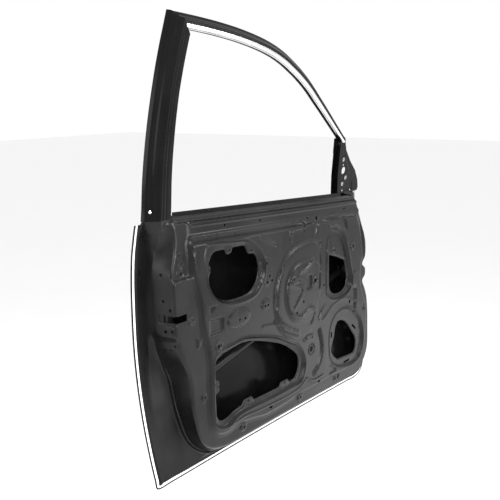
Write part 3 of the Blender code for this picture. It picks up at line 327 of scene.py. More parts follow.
def grid(low: Sequence[float], high: Sequence[float], step: tuple[float, float]) -> np.ndarray:
    """Give a brick-like grid of places.

    Args:
        low: its lower corner.
        high: its upper corner.
        step: how far apart its places lie each way.
    Returns:
        The places.
    """
    xs = np.arange(low[0], high[0], step[0])
    zs = np.arange(low[1], high[1], step[1])
    x, z = np.meshgrid(xs, zs)
    x = x + (np.arange(len(zs)) % 2)[:, None] * step[0] / 2.0
    return np.stack([x.ravel(), z.ravel()], 1)


def marks(lines: Sequence[np.ndarray], step: float) -> np.ndarray:
    """Give places along lines, thinned so that none lie close together.

    Args:
        lines: the lines.
        step: about how far apart the places lie.
    Returns:
        The places.
    """
    taken: set[tuple[int, int]] = set()
    kept = []
    for line in lines:
        ends = np.roll(line, -1, 0)
        for start, end in zip(line, ends):
            size = float(np.linalg.norm(end - start))
            if size > LONGEST_PART:
                continue
            for share in np.arange(0.0, 1.0, step / max(size, step)):
                spot = start + (end - start) * share
                cell = (int(spot[0] // (step * CELL_SHARE)), int(spot[1] // (step * CELL_SHARE)))
                if cell not in taken:
                    taken.add(cell)
                    kept.append(spot)
    return np.array(kept)


class Shape:
    """A mesh under way, in the door's axes."""

    def __init__(self) -> None:
        """Start empty."""
        self.corners: list[np.ndarray] = []
        self.faces: list[tuple[int, ...]] = []
        self.slots: list[int] = []
        self.count = 0

    def add(self, corners: np.ndarray, faces: Sequence[Sequence[int]], slot_id: int = 0) -> None:
        """Add corners and the faces between them."""
        self.corners.append(np.asarray(corners, float))
        self.faces += [tuple(int(i) + self.count for i in face) for face in faces]
        self.slots += [slot_id] * len(faces)
        self.count += len(corners)

    def rows(self, rows: np.ndarray, slot_id: int = 0, closed: bool = False) -> None:
        """Add a net of rows of corners.

        Args:
            rows: rows, columns and the three numbers of each corner.
            slot_id: its finish.
            closed: whether each row's ends are joined.
        """
        count, width = rows.shape[:2]
        span = width if closed else width - 1
        faces = []
        for r in range(count - 1):
            for c in range(span):
                d = (c + 1) % width
                faces.append((r * width + c, r * width + d, (r + 1) * width + d, (r + 1) * width + c))
        self.add(rows.reshape(-1, 3), faces, slot_id)

    def dome(self, centre: Sequence[float], axis: Sequence[float], radius: float, height: float,
             slot_id: int) -> None:
        """Add a low round head.

        Args:
            centre: the middle of its foot.
            axis: where it points.
            radius: its foot's radius.
            height: how far it stands out.
            slot_id: its finish.
        """
        up = Vector(axis).normalized()
        ahead = up.orthogonal().normalized()
        aside = up.cross(ahead)
        rings = []
        for rise in np.linspace(0.0, math.pi / 2.0 - 0.05, 6):
            turns = np.linspace(0.0, 2.0 * math.pi, 20, endpoint=False)
            flat = np.outer(np.cos(turns), ahead) + np.outer(np.sin(turns), aside)
            lifted = np.array(up) * height * math.sin(rise)
            rings.append(np.array(centre) + flat * radius * math.cos(rise) + lifted)
        self.rows(np.array(rings), slot_id, closed=True)
        self.add(rings[-1], [tuple(range(len(rings[-1])))], slot_id)

    def finish(self, name: str, finishes: Sequence[bpy.types.Material], nodes: Sequence[str],
               record_slot: str, sheet: float = 0.0, sharp: float = 40.0) -> bpy.types.Object:
        """Turn the shape into a piece of the scene.

        Args:
            name: the piece's name.
            finishes: its materials, in the order of the faces' slots.
            nodes: the frame's nodes that it stands for.
            record_slot: the record's material slot; not used.
            sheet: thickness given to an open sheet, behind its faces.
            sharp: edges that bend by more than these degrees stay sharp.
        Returns:
            The object.
        """
        places = (np.concatenate(self.corners) - ORIGIN) * MM
        data = bpy.data.meshes.new(name)
        data.from_pydata(places.tolist(), [], self.faces)
        data.polygons.foreach_set("material_index", self.slots)
        piece = bpy.data.objects.new(name, data)
        bpy.context.scene.collection.objects.link(piece)
        for finish in finishes:
            data.materials.append(finish)
        weld(data, not sheet)
        data.shade_smooth()
        data.set_sharp_from_angle(angle=math.radians(sharp))
        if sheet:
            solid = piece.modifiers.new("sheet", "SOLIDIFY")
            solid.thickness = sheet * MM
            solid.offset = -1.0
            solid.use_even_offset = False
            solid.material_offset_rim = 0
        weighted = piece.modifiers.new("normals", "WEIGHTED_NORMAL")
        weighted.keep_sharp = True
        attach(piece, "root")
        if nodes:
            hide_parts(*nodes)
        log.info("%s: %d faces", name, len(data.polygons))
        return piece


def weld(data: bpy.types.Mesh, closed: bool) -> None:
    """Join corners that lie on each other.

    Args:
        data: the mesh.
        closed: whether its faces are turned outward.
    """
    mesh = bmesh.new()
    mesh.from_mesh(data)
    bmesh.ops.remove_doubles(mesh, verts=mesh.verts, dist=0.02 * MM)
    bmesh.ops.dissolve_degenerate(mesh, edges=mesh.edges, dist=0.001 * MM)
    if closed:
        bmesh.ops.recalc_face_normals(mesh, faces=mesh.faces)
    mesh.to_mesh(data)
    mesh.free()


def lift(flat: np.ndarray, depth: np.ndarray) -> np.ndarray:
    """Give places seen from inside the car their depth inboard."""
    return np.stack([flat[:, 0], -depth, flat[:, 1]], 1)


def rounded(points: Spots, radius: float, closed: bool, steps: int = 3) -> np.ndarray:
    """Round the corners of a line.

    Args:
        points: the line's corners.
        radius: how far before a corner the round starts.
        closed: whether the line returns to its start.
        steps: how many parts a round has.
    Returns:
        The line's points.
    """
    spots = np.array(points, float)
    count = len(spots)
    parts = []
    for i in range(count):
        if not closed and i in (0, count - 1):
            parts.append(spots[i:i + 1])
            continue
        corner = spots[i]
        ends = []
        for other in (spots[i - 1], spots[(i + 1) % count]):
            size = np.linalg.norm(other - corner)
            ends.append(corner + (other - corner) * min(radius / size, 0.45))
        t = np.linspace(0.0, 1.0, steps + 1)[:, None]
        parts.append((1 - t) ** 2 * ends[0] + 2 * t * (1 - t) * corner + t * t * ends[1])
    return np.concatenate(parts)


@dataclass
class InnerPanel:
    """The stamped inner panel: hem flange, seal land, side walls and a main face with its relief.

    The four rows run from the rear top, down, forward and up to the front top, and match point
    for point.
    """

    hem: Spots = (
        (4, 684), (4, 664), (4, 640), (3, 615), (3, 588), (3, 552), (3, 500), (3, 454), (3, 436), (3, 402),
        (3, 380), (3, 345), (3, 305), (3, 262), (3, 212), (3, 165), (3, 110), (3, 25), (4, 3), (60, 0.5),
        (150, 0), (230, 0), (310, 0), (420, 0), (540, 0), (660, 0), (780, 0), (880, 0), (960, 0), (1020, 0),
        (1070, 14), (1103, 48), (1118, 100), (1121, 192), (1122, 245), (1122, 290), (1122, 325), (1122, 350),
        (1122, 366), (1122, 392), (1121, 410), (1121, 434), (1119, 486), (1116, 530), (1109, 585),
        (1101, 622), (1090, 655))
    land: Spots = (
        (18, 703.5), (27, 678), (38, 648), (46, 618), (49, 590), (49, 555), (49, 498), (49, 454), (49, 436),
        (49, 402), (49, 376), (48, 345), (46, 305), (41, 255), (38, 205), (42, 158), (52, 112), (66, 80),
        (86, 56), (112, 38), (165, 22), (235, 18), (310, 17), (420, 17), (540, 17), (660, 17), (780, 17),
        (880, 17), (960, 17), (1010, 18), (1052, 32), (1086, 60), (1098, 105), (1100, 190), (1100, 243),
        (1098, 288), (1092, 322), (1088, 350), (1088, 366), (1088, 392), (1088, 410), (1086, 433),
        (1086, 486), (1080, 528), (1066, 585), (1052, 622), (1036, 656))
    foot: Spots = (
        (22, 705), (32, 676), (44, 648), (50, 620), (48, 589), (48, 555), (52, 500), (52, 454), (52, 436),
        (52, 402), (59, 380), (65, 353), (80, 317), (100, 263), (107, 207), (115, 175), (125, 145),
        (136, 108), (150, 77), (175, 49), (213, 27), (262, 22), (320, 21), (420, 21), (540, 21), (660, 21),
        (780, 21), (880, 21), (955, 21), (1003, 23), (1042, 39), (1072, 68), (1087, 108), (1087, 188),
        (1087, 240), (1082, 287), (1073, 322), (1064, 350), (1062, 366), (1062, 392), (1062, 410),
        (1062, 434), (1062, 486), (1054, 528), (1035, 585), (1018, 620), (1000, 656))
    face: Spots = (
        (54, 705), (62, 690), (68, 655), (66, 626), (59, 598), (50, 560), (52, 500), (52, 454), (52, 436),
        (52, 402), (63, 385), (67, 365), (79, 328), (100, 286), (110, 235), (112, 190), (119, 155),
        (134, 110), (156, 76), (190, 53), (240, 41), (285, 37), (330, 36), (420, 35), (540, 34), (660, 32),
        (780, 30), (880, 28), (950, 27), (1000, 28), (1038, 42), (1070, 70), (1087, 108), (1087, 188),
        (1084, 240), (1076, 286), (1061, 319), (1043, 350), (1062, 366), (1062, 392), (1041, 410),
        (1062, 434), (1062, 486), (1046, 528), (1023, 583), (1003, 622), (984, 655))
    rear_foot_depths: Sequence[float] = (
        98, 88, 70, 55, 44, 36, 30, 30, 30, 30, 30, 31, 33, 40, 47, 48, 49, 53, 58, 66, 76)
    field: Spots = (
        (130, 646), (110, 638), (108, 610), (116, 565), (130, 512), (143, 460), (149, 410), (158, 370),
        (168, 335), (172, 290), (172, 200), (173, 145), (184, 108), (208, 84), (245, 74), (300, 79),
        (370, 72), (440, 60), (540, 60), (640, 66), (740, 64), (830, 64), (930, 58), (1010, 68),
        (1050, 105), (1064, 190), (1058, 265), (1040, 305), (1022, 345), (1022, 410), (1036, 445),
        (1032, 480), (1014, 538), (990, 585), (965, 600), (880, 604), (750, 608), (640, 614), (520, 622),
        (400, 631), (250, 641))
    pockets: Sequence[Spots] = (
        ((164, 585), (171, 609), (189, 621), (223, 619), (271, 613), (314, 610), (352, 605), (377, 594),
         (402, 575), (418, 559), (431, 537), (435, 513), (431, 487), (418, 466), (402, 450), (383, 440),
         (352, 435), (303, 435), (268, 439), (233, 451), (210, 465), (191, 487), (178, 513), (170, 548)),
        ((193, 285), (199, 305), (221, 321), (277, 326), (342, 328), (413, 313), (493, 290), (554, 262),
         (614, 231), (642, 201), (655, 166), (648, 134), (626, 107), (574, 106), (453, 107), (332, 112),
         (292, 108), (257, 95), (223, 99), (199, 116), (192, 144)),
        ((780, 360), (781, 496), (792, 542), (816, 565), (856, 561), (889, 540), (919, 491), (943, 426),
         (953, 376), (945, 345), (921, 329), (876, 322), (828, 328), (796, 341)),
        ((800, 174), (801, 214), (813, 250), (841, 274), (886, 284), (937, 278), (989, 249), (1025, 209),
         (1041, 159), (1037, 116), (1017, 83), (977, 69), (916, 73), (866, 85), (828, 109), (806, 139)))
    openings: Sequence[Spots] = (
        ((191, 561), (200, 578), (208, 587), (219, 592), (260, 591), (266, 577), (279, 574), (291, 577),
         (296, 590), (350, 587), (359, 573), (365, 562), (379, 558), (393, 558), (406, 545), (413, 521),
         (413, 504), (407, 485), (396, 470), (383, 458), (363, 450), (333, 447), (303, 447), (268, 450),
         (241, 458), (219, 470), (205, 487), (195, 506), (192, 527), (200, 540), (201, 555)),
        ((211, 283), (216, 295), (239, 305), (292, 310), (332, 313), (373, 308), (420, 295), (473, 278),
         (521, 261), (557, 243), (597, 217), (617, 200), (625, 182), (624, 160), (616, 140), (600, 127),
         (574, 124), (566, 137), (526, 137), (517, 125), (453, 126), (385, 129), (377, 143), (334, 143),
         (326, 131), (285, 127), (262, 119), (242, 116), (224, 121), (213, 137), (211, 199), (227, 205),
         (227, 235), (211, 241)),
        ((814, 480), (866, 464), (913, 446), (922, 416), (930, 381), (923, 358), (905, 345), (878, 340),
         (846, 344), (824, 357), (815, 378)),
        ((858, 226), (871, 241), (891, 243), (916, 235), (941, 216), (962, 193), (988, 166), (998, 147),
         (995, 116), (984, 104), (939, 106), (897, 110), (873, 111), (854, 124), (835, 144), (831, 157),
         (839, 174), (850, 194)))
    rounds: Sequence[Spots] = (
        ((736, 500), (728, 530), (700, 548), (660, 552), (625, 550), (580, 542), (540, 522), (508, 490),
         (487, 450), (478, 405), (484, 358), (504, 315), (535, 283), (575, 258), (620, 248), (670, 256),
         (712, 280), (738, 330)),
        ((722, 470), (690, 488), (640, 496), (590, 492), (556, 472), (535, 440), (530, 400), (540, 360),
         (566, 326), (605, 308), (660, 306), (700, 324), (722, 360)))
    patch: Spots = ((56, 541), (66, 541), (70, 521), (126, 518), (140, 450), (145, 405), (60, 395))
    small_holes: Spots = (
        (264, 656), (427, 646), (678, 620), (911, 619), (439, 522), (454, 483), (441, 467), (469, 467),
        (427, 400), (442, 400), (304, 389), (329, 388), (567, 450), (598, 441), (625, 370), (587, 343),
        (652, 242), (687, 239), (845, 490), (953, 487), (763, 393), (156, 211), (327, 67), (628, 57),
        (850, 50))
    tab_holes: Spots = ((279, 586), (379, 569), (195, 548), (218, 220), (355, 135), (546, 129))
    middle_holes: Spots = ((727, 612), (694, 422), (214, 336), (85, 557), (935, 299))
    large_hole: tuple[float, float] = (686, 200)
    small_radius: float = 3.8
    tab_radius: float = 3.0
    middle_radius: float = 5.5
    large_radius: float = 9.5
    hole_sides: int = 14
    hole_reach: float = 6.0
    band_step: float = 5.5
    belt_height: float = 716.5
    belt_slope: float = 0.0517
    belt_flange: float = 11.0
    neck: float = 20.0
    slot_columns: tuple[int, int] = (7, 8)
    slot_reach: float = 36.0
    slot_deep: float = 61.0
    column_step: float = 6.0
    fillet: float = 7.0
    lip: float = 1.4
    bead: float = 2.4
    plug: tuple[float, float, float] = (21.0, -17.5, 563.0)
    plug_radius: float = 7.0
    plug_height: float = 1.2
    coarse: float = 13.0
    fine: tuple[float, float] = (4.2, 3.4)
    belt_drops: Sequence[float] = (
        13.0, 15.0, 17.0, 19.0, 22.0, 25.0, 26.2, 27.4, 29.0, 32.0, 35.0, 37.5, 40.0, 44.0, 48.0, 52.0,
        56.0, 60.0, 61.7, 63.4, 65.0, 67.0, 69.0, 72.0, 75.0, 77.5, 80.0, 82.5, 85.0, 87.5, 90.0, 93.0)
    belt_profile: Spots = (
        (11.0, 88.0), (13.0, 89.0), (19.0, 99.0), (25.0, 101.0), (27.4, 97.5), (29.0, 103.0), (35.0, 107.5),
        (40.0, 103.5), (60.0, 103.5), (65.0, 108.5), (69.0, 107.0), (75.0, 111.5), (80.0, 109.0),
        (85.0, 114.0), (93.0, 140.0))
    wall_shares: Sequence[float] = (0.03, 0.12, 0.24, 0.36, 0.48, 0.6, 0.72, 0.84)
    wall_row: int = 15
    face_depth: float = 108.0
    neck_depth: float = 101.0
    rear_zone: tuple[float, float] = (130.0, 541.0)
    rear_soft: float = 6.0
    rear_rise: float = 7.0
    hem_widths: Sequence[float] = (1.5, 8.0, 12.0)
    foot_rise: float = 11.0
    land_rise: float = 9.0
    wall_starts: Sequence[float] = (0.12, 0.5, 0.74)
    bead_rows: Spots = ((0.8, 0.7), (0.85, 1.0), (0.9, 0.7), (0.96, 0.0))
    field_press: tuple[float, float] = (7.0, 12.0)
    pocket_press: tuple[float, float] = (-9.0, 10.0)
    round_press: tuple[float, float] = (5.0, 10.0)
    opening_groove: tuple[float, float] = (-2.2, 4.5)
    curve_step: float = 8.0
    lip_half: float = 5.5
    oval_wall: float = 5.0
    ring_half: float = 4.0
    latch_station: float = 6.0
    latch_bores: Spots = ((0.68, 0.77), (2.7, 0.56), (2.6, 0.84), (0.21, 0.49))
    latch_radius: float = 4.5
    hinge_stations: Sequence[float] = (32.0, 41.0)
    hinge_bores: Sequence[float] = (0.25, 0.75)
    hinge_radius: float = 6.5
    check_slot: tuple[float, float, float, float] = (38.5, 0.5, 6.0, 15.0)
    drain_bores: Sequence[tuple[float, float, float, float]] = (
        (11.0, 0.55, 3.0, 3.0), (11.0, 0.3, 3.0, 3.0), (10.5, 0.8, 3.0, 3.0), (5.0, 0.45, 4.0, 4.0))
    slits: Sequence[tuple[tuple[float, float], float, float, float]] = (
        ((829, 207), 20, 7, 90), ((983, 198), 34, 7, -37), ((934, 87), 40, 6, 2),
        ((457, 83), 16, 6, 0), ((734, 77), 16, 6, 0))
    plates: Sequence[tuple[Spots, float, float]] = (
        (((640, 617), (655, 617), (655, 578), (640, 580)), -5.0, 5.0),
        (((868, 600), (907, 601), (920, 545), (905, 548)), -6.0, 7.0),
        (((950, 400), (990, 400), (990, 345), (950, 347)), 3.0, 4.0),
        (((958, 340), (987, 338), (980, 250), (964, 252)), -6.0, 7.0),
        (((640, 445), (675, 447), (675, 400), (640, 400)), -5.0, 5.0),
        (((715, 440), (745, 440), (745, 385), (715, 385)), -5.0, 5.0),
        (((728, 540), (748, 540), (748, 445), (728, 445)), -5.0, 6.0),
        (((800, 120), (848, 92), (850, 75), (800, 75)), -5.0, 8.0),
        (((865, 62), (880, 62), (880, 42), (865, 42)), -4.0, 4.0),
        (((178, 418), (240, 414), (238, 372), (178, 370)), -6.0, 7.0),
        (((178, 452), (222, 452), (182, 430)), -5.0, 6.0),
        (((128, 385), (160, 372), (132, 345)), 3.5, 5.0))
    ovals: Sequence[tuple[tuple[float, float], float, float, float]] = (
        ((434, 402), 24, 17, 4.0), ((306, 394), 54, 26, 4.0), ((1040, 260), 13, 17, -5.0),
        ((327, 67), 17, 14, 3.5), ((628, 57), 17, 13, 3.5), ((850, 50), 12, 11, 2.5),
        ((156, 211), 13, 16, 3.0), ((441, 498), 30, 44, 2.5), ((582, 446), 30, 15, 2.5),
        ((670, 240), 32, 14, 3.0), ((953, 487), 15, 15, 3.0), ((845, 492), 14, 10, 2.0))
    beads: Sequence[tuple[Spots, float, float]] = (
        (((415, 601), (455, 580), (490, 565)), -3.0, 7.0),
        (((572, 617), (572, 568)), 3.0, 5.0),
        (((715, 566), (722, 588), (745, 602), (880, 603)), -3.0, 6.0),
        (((800, 578), (840, 574), (884, 548), (914, 495), (937, 430), (948, 370)), 3.5, 5.0),
        (((780, 500), (781, 380)), 3.0, 5.0), (((817, 540), (817, 486)), -3.5, 5.0),
        (((1012, 592), (1030, 530), (1043, 440)), -5.0, 11.0),
        (((480, 340), (520, 300), (600, 262)), 3.0, 6.0),
        (((498, 352), (534, 314), (606, 278)), 2.5, 5.0),
        (((605, 466), (640, 470), (690, 492)), 3.0, 6.0),
        (((545, 440), (615, 415), (620, 400), (575, 360)), 2.5, 6.0),
        (((560, 345), (590, 330), (620, 325), (660, 340), (690, 330), (700, 310), (680, 285)), 3.0, 6.0),
        (((735, 250), (752, 190), (735, 140), (700, 115)), -6.0, 11.0),
        (((735, 285), (745, 305), (770, 320)), 3.0, 5.0),
        (((488, 380), (492, 440), (512, 490)), -3.0, 8.0),
        (((760, 280), (830, 312), (905, 318), (990, 282)), 2.5, 6.0),
        (((420, 340), (520, 322), (560, 300)), 2.0, 6.0),
        (((660, 110), (700, 92), (760, 92)), 2.5, 6.0),
        (((260, 96), (330, 100), (400, 94), (600, 90), (660, 110)), 2.0, 5.0),
        (((560, 590), (600, 596), (632, 596)), 2.0, 5.0))
    rings: Sequence[tuple[tuple[float, float], float, float]] = (
        ((82, 594), 13, 3.0), ((113, 430), 9, 2.0), ((686, 200), 17, -2.5), ((85, 557), 13, 2.0),
        ((214, 336), 12, 2.0), ((694, 422), 12, 2.0), ((727, 612), 11, 2.0))

    def belt(self, x: np.ndarray) -> np.ndarray:
        """Give the height of the belt line."""
        return self.belt_height - self.belt_slope * x

    def relief(self) -> list[Step | Ridge]:
        """Give the relief of the main face.

        Returns:
            Its pressed fields, pockets, lips, beads and rings.
        """
        step = self.curve_step
        parts: list[Step | Ridge] = [Step(spline(self.field, step), *self.field_press)]
        parts += [Step(spline(loop, step), *self.pocket_press) for loop in self.pockets]
        parts += [Step(spline(loop, step), *self.round_press) for loop in self.rounds]
        edges = (self.field, *self.pockets, *self.rounds)
        parts += [Ridge(spline(loop, step), self.lip, self.lip_half, True) for loop in edges]
        parts += [Ridge(rounded(loop, 4.0, True), *self.opening_groove, True) for loop in self.openings]
        parts += [Step(rounded(loop, 7.0, True), rise, wall) for loop, rise, wall in self.plates]
        for centre, wide, high, rise in self.ovals:
            parts.append(Step(oval(centre, wide, high, 24), rise, self.oval_wall))
        parts += [Ridge(spline(points, 6.0, False), rise, half) for points, rise, half in self.beads]
        for centre, radius, rise in self.rings:
            parts.append(Ridge(oval(centre, radius, radius, 24), rise, self.ring_half, True))
        return parts

    def patch_step(self) -> Step:
        """Give the share of the latch patch, which lies level with the rear zone."""
        return Step(rounded(self.patch, 4.0, True), 1.0, 4.0)

    def depth(self, spots: np.ndarray, parts: Sequence[Step | Ridge]) -> np.ndarray:
        """Give how deep inboard the main face lies.

        Args:
            spots: places on the face.
            parts: its relief.
        Returns:
            One depth for each place.
        """
        x, z = spots[:, 0], spots[:, 1]
        patch = self.patch_step().height(spots)
        front, foot = self.rear_zone
        upper = ease((z - foot) / self.rear_soft) * ease((front - x) / self.neck)
        level = self.face_depth - self.rear_rise * upper * (1.0 - patch)
        for part in parts:
            level = level + part.height(spots)
        drop = self.belt(x) - z
        drops, depths = zip(*self.belt_profile)
        strip = np.interp(drop, drops, depths)
        share = ease((self.face[0][0] + self.neck - x) / self.neck)
        strip = np.maximum(strip, strip * (1.0 - share) + self.neck_depth * share)
        return np.minimum(level, strip)

    def columns(self) -> tuple[list[np.ndarray], np.ndarray]:
        """Draw the four rows out into matching columns.

        Returns:
            The rows, and each station's column.
        """
        tables = [np.array(row, float) for row in (self.hem, self.land, self.foot, self.face)]
        gaps = np.max([np.linalg.norm(np.diff(row, axis=0), axis=1) for row in tables], 0)
        counts = np.maximum((gaps / self.column_step).astype(int), 1)
        starts = np.concatenate([[0], np.cumsum(counts)])
        return [spline(row, self.column_step, False, counts) for row in tables], starts

    def border(self, parts: Sequence[Step | Ridge]) -> tuple[np.ndarray, np.ndarray]:
        """Give the corners from the hem to the main face.

        Args:
            parts: the relief of the main face.
        Returns:
            The rows of corners, and each station's column.
        """
        (hem, land, foot, face), starts = self.columns()
        lines = [offset(hem, width, False) for width in self.hem_widths]
        stations = np.arange(len(self.rear_foot_depths))
        index = np.interp(np.arange(len(hem)), starts, np.arange(len(starts)))
        rear = np.interp(index, stations, self.rear_foot_depths)
        share = ease(index - len(self.rear_foot_depths) + 1.0)
        foot_depth = rear * (1.0 - share) + (skin_depth(foot) + self.foot_rise) * share
        inner = offset(face, self.fillet, False)
        rows = [lift(line, flange_depth(line)) for line in lines]
        outer = lines[-1] * 0.93 + land * 0.07
        low = lift(outer, skin_depth(outer) + self.land_rise)
        high = lift(land, skin_depth(land) + self.land_rise)
        neck = ease(1.0 - index / 2.0)[:, None]
        ramp = lift(land, flange_depth(land) * 0.8 + foot_depth * 0.2)
        high = high * (1.0 - neck) + ramp * neck
        rows += [rows[-1] * 0.93 + low * 0.07, rows[-1] * 0.25 + low * 0.75]
        rows += [low, low * 0.5 + high * 0.5, high]
        base, top = lift(foot, foot_depth), lift(face, self.depth(inner, parts))
        rows += [high * (1.0 - t) + base * t for t in self.wall_starts]
        for t, rise in self.bead_rows:
            rows.append(high * (1.0 - t) + base * t - np.array((0.0, self.bead * rise, 0.0)))
        rows += [base * (1.0 - t) + top * t for t in self.wall_shares]
        last = lift(inner, self.depth(inner, parts))
        climb = top - base
        size = np.linalg.norm(climb, axis=1)[:, None]
        edge = top - climb * np.minimum(self.fillet / np.maximum(size, 1e-6), 0.15)
        for t in (0.0, 0.25, 0.5, 0.75, 1.0):
            rows.append((1 - t) ** 2 * edge + 2 * t * (1 - t) * top + t * t * last)
        return np.array(rows), starts

    def main_face(self, shape: Shape, parts: Sequence[Step | Ridge], rim: np.ndarray,
                  starts: np.ndarray) -> None:
        """Add the main face with its relief and openings.

        Args:
            shape: the shape it is added to.
            parts: its relief.
            rim: the border's last row, seen from inside the car.
            starts: each station's column.
        """
        first, last = [starts[column] for column in self.slot_columns]
        reach_in = np.array((self.slot_reach, 0.0))
        notch = np.array([rim[first] + reach_in, rim[last] + reach_in])
        xs = np.linspace(rim[-1, 0], rim[0, 0] + self.neck, 60)[1:]
        top = np.stack([xs, self.belt(xs) - self.belt_flange], 1)
        outline = np.concatenate([rim[:first + 1], notch, rim[last:], top])
        holes = [rounded(loop, 6.0, True, 4) for loop in self.openings]
        for places, radius in (
                (self.small_holes, self.small_radius), (self.tab_holes, self.tab_radius),
                (self.middle_holes, self.middle_radius), ([self.large_hole], self.large_radius)):
            holes += [oval(spot, radius, radius, self.hole_sides) for spot in places]
        holes += [slot(*slit) for slit in self.slits]
        close = grid(outline.min(0), outline.max(0), self.fine)
        close = close[within(close, outline)]
        near = np.zeros(len(close), bool)
        lines = []
        for part in [*parts, self.patch_step()]:
            near |= part.fine(close)
            lines += part.guides()
        for hole in holes:
            near |= reach(close, hole, True, self.hole_reach) < self.hole_reach
        guides = marks(lines, self.fine[1])
        guides = guides[within(guides, outline)]
        cell = self.fine[1] * 0.5
        keys = np.floor(guides / cell).astype(int)
        taken = {(x + i, z + j) for x, z in keys.tolist() for i in (-1, 0, 1) for j in (-1, 0, 1)}
        near &= [tuple(key) not in taken for key in np.floor(close / cell).astype(int).tolist()]
        close = np.concatenate([close[near], guides])
        close = close[self.belt(close[:, 0]) - close[:, 1] > self.belt_drops[-1] + 1.0]
        low, high = outline[:, 0].min(), outline[:, 0].max()
        bands = grid((low, 0.0), (high, len(self.belt_drops)), (self.band_step, 1.0))
        drops = np.array(self.belt_drops)[bands[:, 1].astype(int)]
        close = np.concatenate([close, np.stack([bands[:, 0], self.belt(bands[:, 0]) - drops], 1)])
        wide = grid(outline.min(0), outline.max(0), (self.coarse, self.coarse))
        cell = self.coarse / 2.0
        taken = {tuple(key) for key in np.floor(close / cell).astype(int).tolist()}
        free = [tuple(key) not in taken for key in np.floor(wide / cell).astype(int).tolist()]
        corners, faces = net(outline, holes, np.concatenate([close, wide[free]]))
        shape.add(lift(corners, self.depth(corners, parts)), faces)

    def side(self, shape: Shape, rows: np.ndarray, starts: np.ndarray) -> None:
        """Add the border with the latch slot and its holes.

        Args:
            shape: the shape it is added to.
            rows: the border's corners.
            starts: each station's column.
        """
        chart = Chart(rows, starts[self.slot_columns[0]])
        first, last = [chart.u[starts[column]] for column in self.slot_columns]
        u, v = chart.u, chart.v
        deep = v[-1] - self.slot_deep
        top = np.stack([u, np.full(len(u), v[-1])], 1)[::-1]
        outline = np.concatenate([
            np.stack([u, np.zeros(len(u))], 1), np.stack([np.full(len(v) - 2, u[-1]), v[1:-1]], 1),
            top[top[:, 0] >= last], [(last, deep), (first, deep)], top[top[:, 0] <= first],
            np.stack([np.zeros(len(v) - 2), v[1:-1]], 1)[::-1]])
        holes = []
        for station, share, along, across in self.bores():
            column = np.interp(station, np.arange(len(starts)), starts)
            row = np.interp(share, self.wall_shares, self.wall_row + np.arange(len(self.wall_shares)))
            holes.append(chart.loop(column, row, along, across))
        columns, lines = np.meshgrid(u[1:-1], v[1:-1])
        corners, faces = net(outline, holes, np.stack([columns.ravel(), lines.ravel()], 1))
        shape.add(chart.spots(corners), faces)

    def bores(self) -> list[tuple[float, float, float, float]]:
        """Give the border's holes.

        Returns:
            For each hole its station, its share of the wall, and its half sizes along and across.
        """
        screw, bolt = self.latch_radius, self.hinge_radius
        holes = [(self.latch_station + along, share, screw, screw) for along, share in self.latch_bores]
        for hinge in self.hinge_stations:
            holes += [(hinge + along, 0.5, bolt, bolt) for along in self.hinge_bores]
        return [*holes, self.check_slot, *self.drain_bores]

    def build(self, coat: bpy.types.Material, plug: bpy.types.Material) -> bpy.types.Object:
        """Build the panel's mesh.

        Args:
            coat: its finish.
            plug: the finish of its drain plug.
        Returns:
            The panel.
        """
        parts = self.relief()
        rows, starts = self.border(parts)
        shape = Shape()
        self.side(shape, rows, starts)
        self.main_face(shape, parts, rows[-1][:, [0, 2]], starts)
        shape.dome(self.plug, (0.0, -1.0, 0.0), self.plug_radius, self.plug_height, 1)
        return shape.finish("inner_panel_sheet", [coat, plug], ["inner_panel"], "black_coat", SHEET)


class Chart:
    """A flat map of rows of corners, about true to size where its columns are measured."""

    def __init__(self, rows: np.ndarray, column: int) -> None:
        """Measure the rows.

        Args:
            rows: rows, columns and the three numbers of each corner.
            column: the column whose steps set the rows' places.
        """
        self.rows = rows
        pace = np.linalg.norm(np.diff(rows[len(rows) // 3], axis=0), axis=1)
        rise = np.linalg.norm(np.diff(rows[:, column], axis=0), axis=1)
        self.u = np.concatenate([[0.0], np.cumsum(np.maximum(pace, LEAST_PACE))])
        self.v = np.concatenate([[0.0], np.cumsum(np.maximum(rise, LEAST_RISE))])

    def spots(self, places: np.ndarray) -> np.ndarray:
        """Give the points in space of places on the map.

        Args:
            places: the places, one per row.
        Returns:
            Their points.
        """
        u, v = self.u, self.v
        column = np.clip(np.searchsorted(u, places[:, 0], "right") - 1, 0, len(u) - 2)
        line = np.clip(np.searchsorted(v, places[:, 1], "right") - 1, 0, len(v) - 2)
        a = ((places[:, 0] - u[column]) / (u[column + 1] - u[column]))[:, None]
        b = ((places[:, 1] - v[line]) / (v[line + 1] - v[line]))[:, None]
        low = self.rows[line, column] * (1.0 - a) + self.rows[line, column + 1] * a
        high = self.rows[line + 1, column] * (1.0 - a) + self.rows[line + 1, column + 1] * a
        return low * (1.0 - b) + high * b

    def loop(self, column: float, row: float, along: float, across: float) -> np.ndarray:
        """Draw a round hole on the map.

        Args:
            column: its place along the rows.
            row: its place across them.
            along: its half size along, in space.
            across: its half size across.
        Returns:
            The hole's line on the map.
        """
        centre = np.array([np.interp(column, np.arange(len(self.u)), self.u),
                           np.interp(row, np.arange(len(self.v)), self.v)])
        sizes = []
        for move in np.eye(2) * PROBE:
            ends = self.spots(np.array([centre - move, centre + move]))
            sizes.append(np.linalg.norm(ends[1] - ends[0]) / (2.0 * PROBE))
        return oval((0.0, 0.0), along / sizes[0], across / sizes[1], 16) + centre


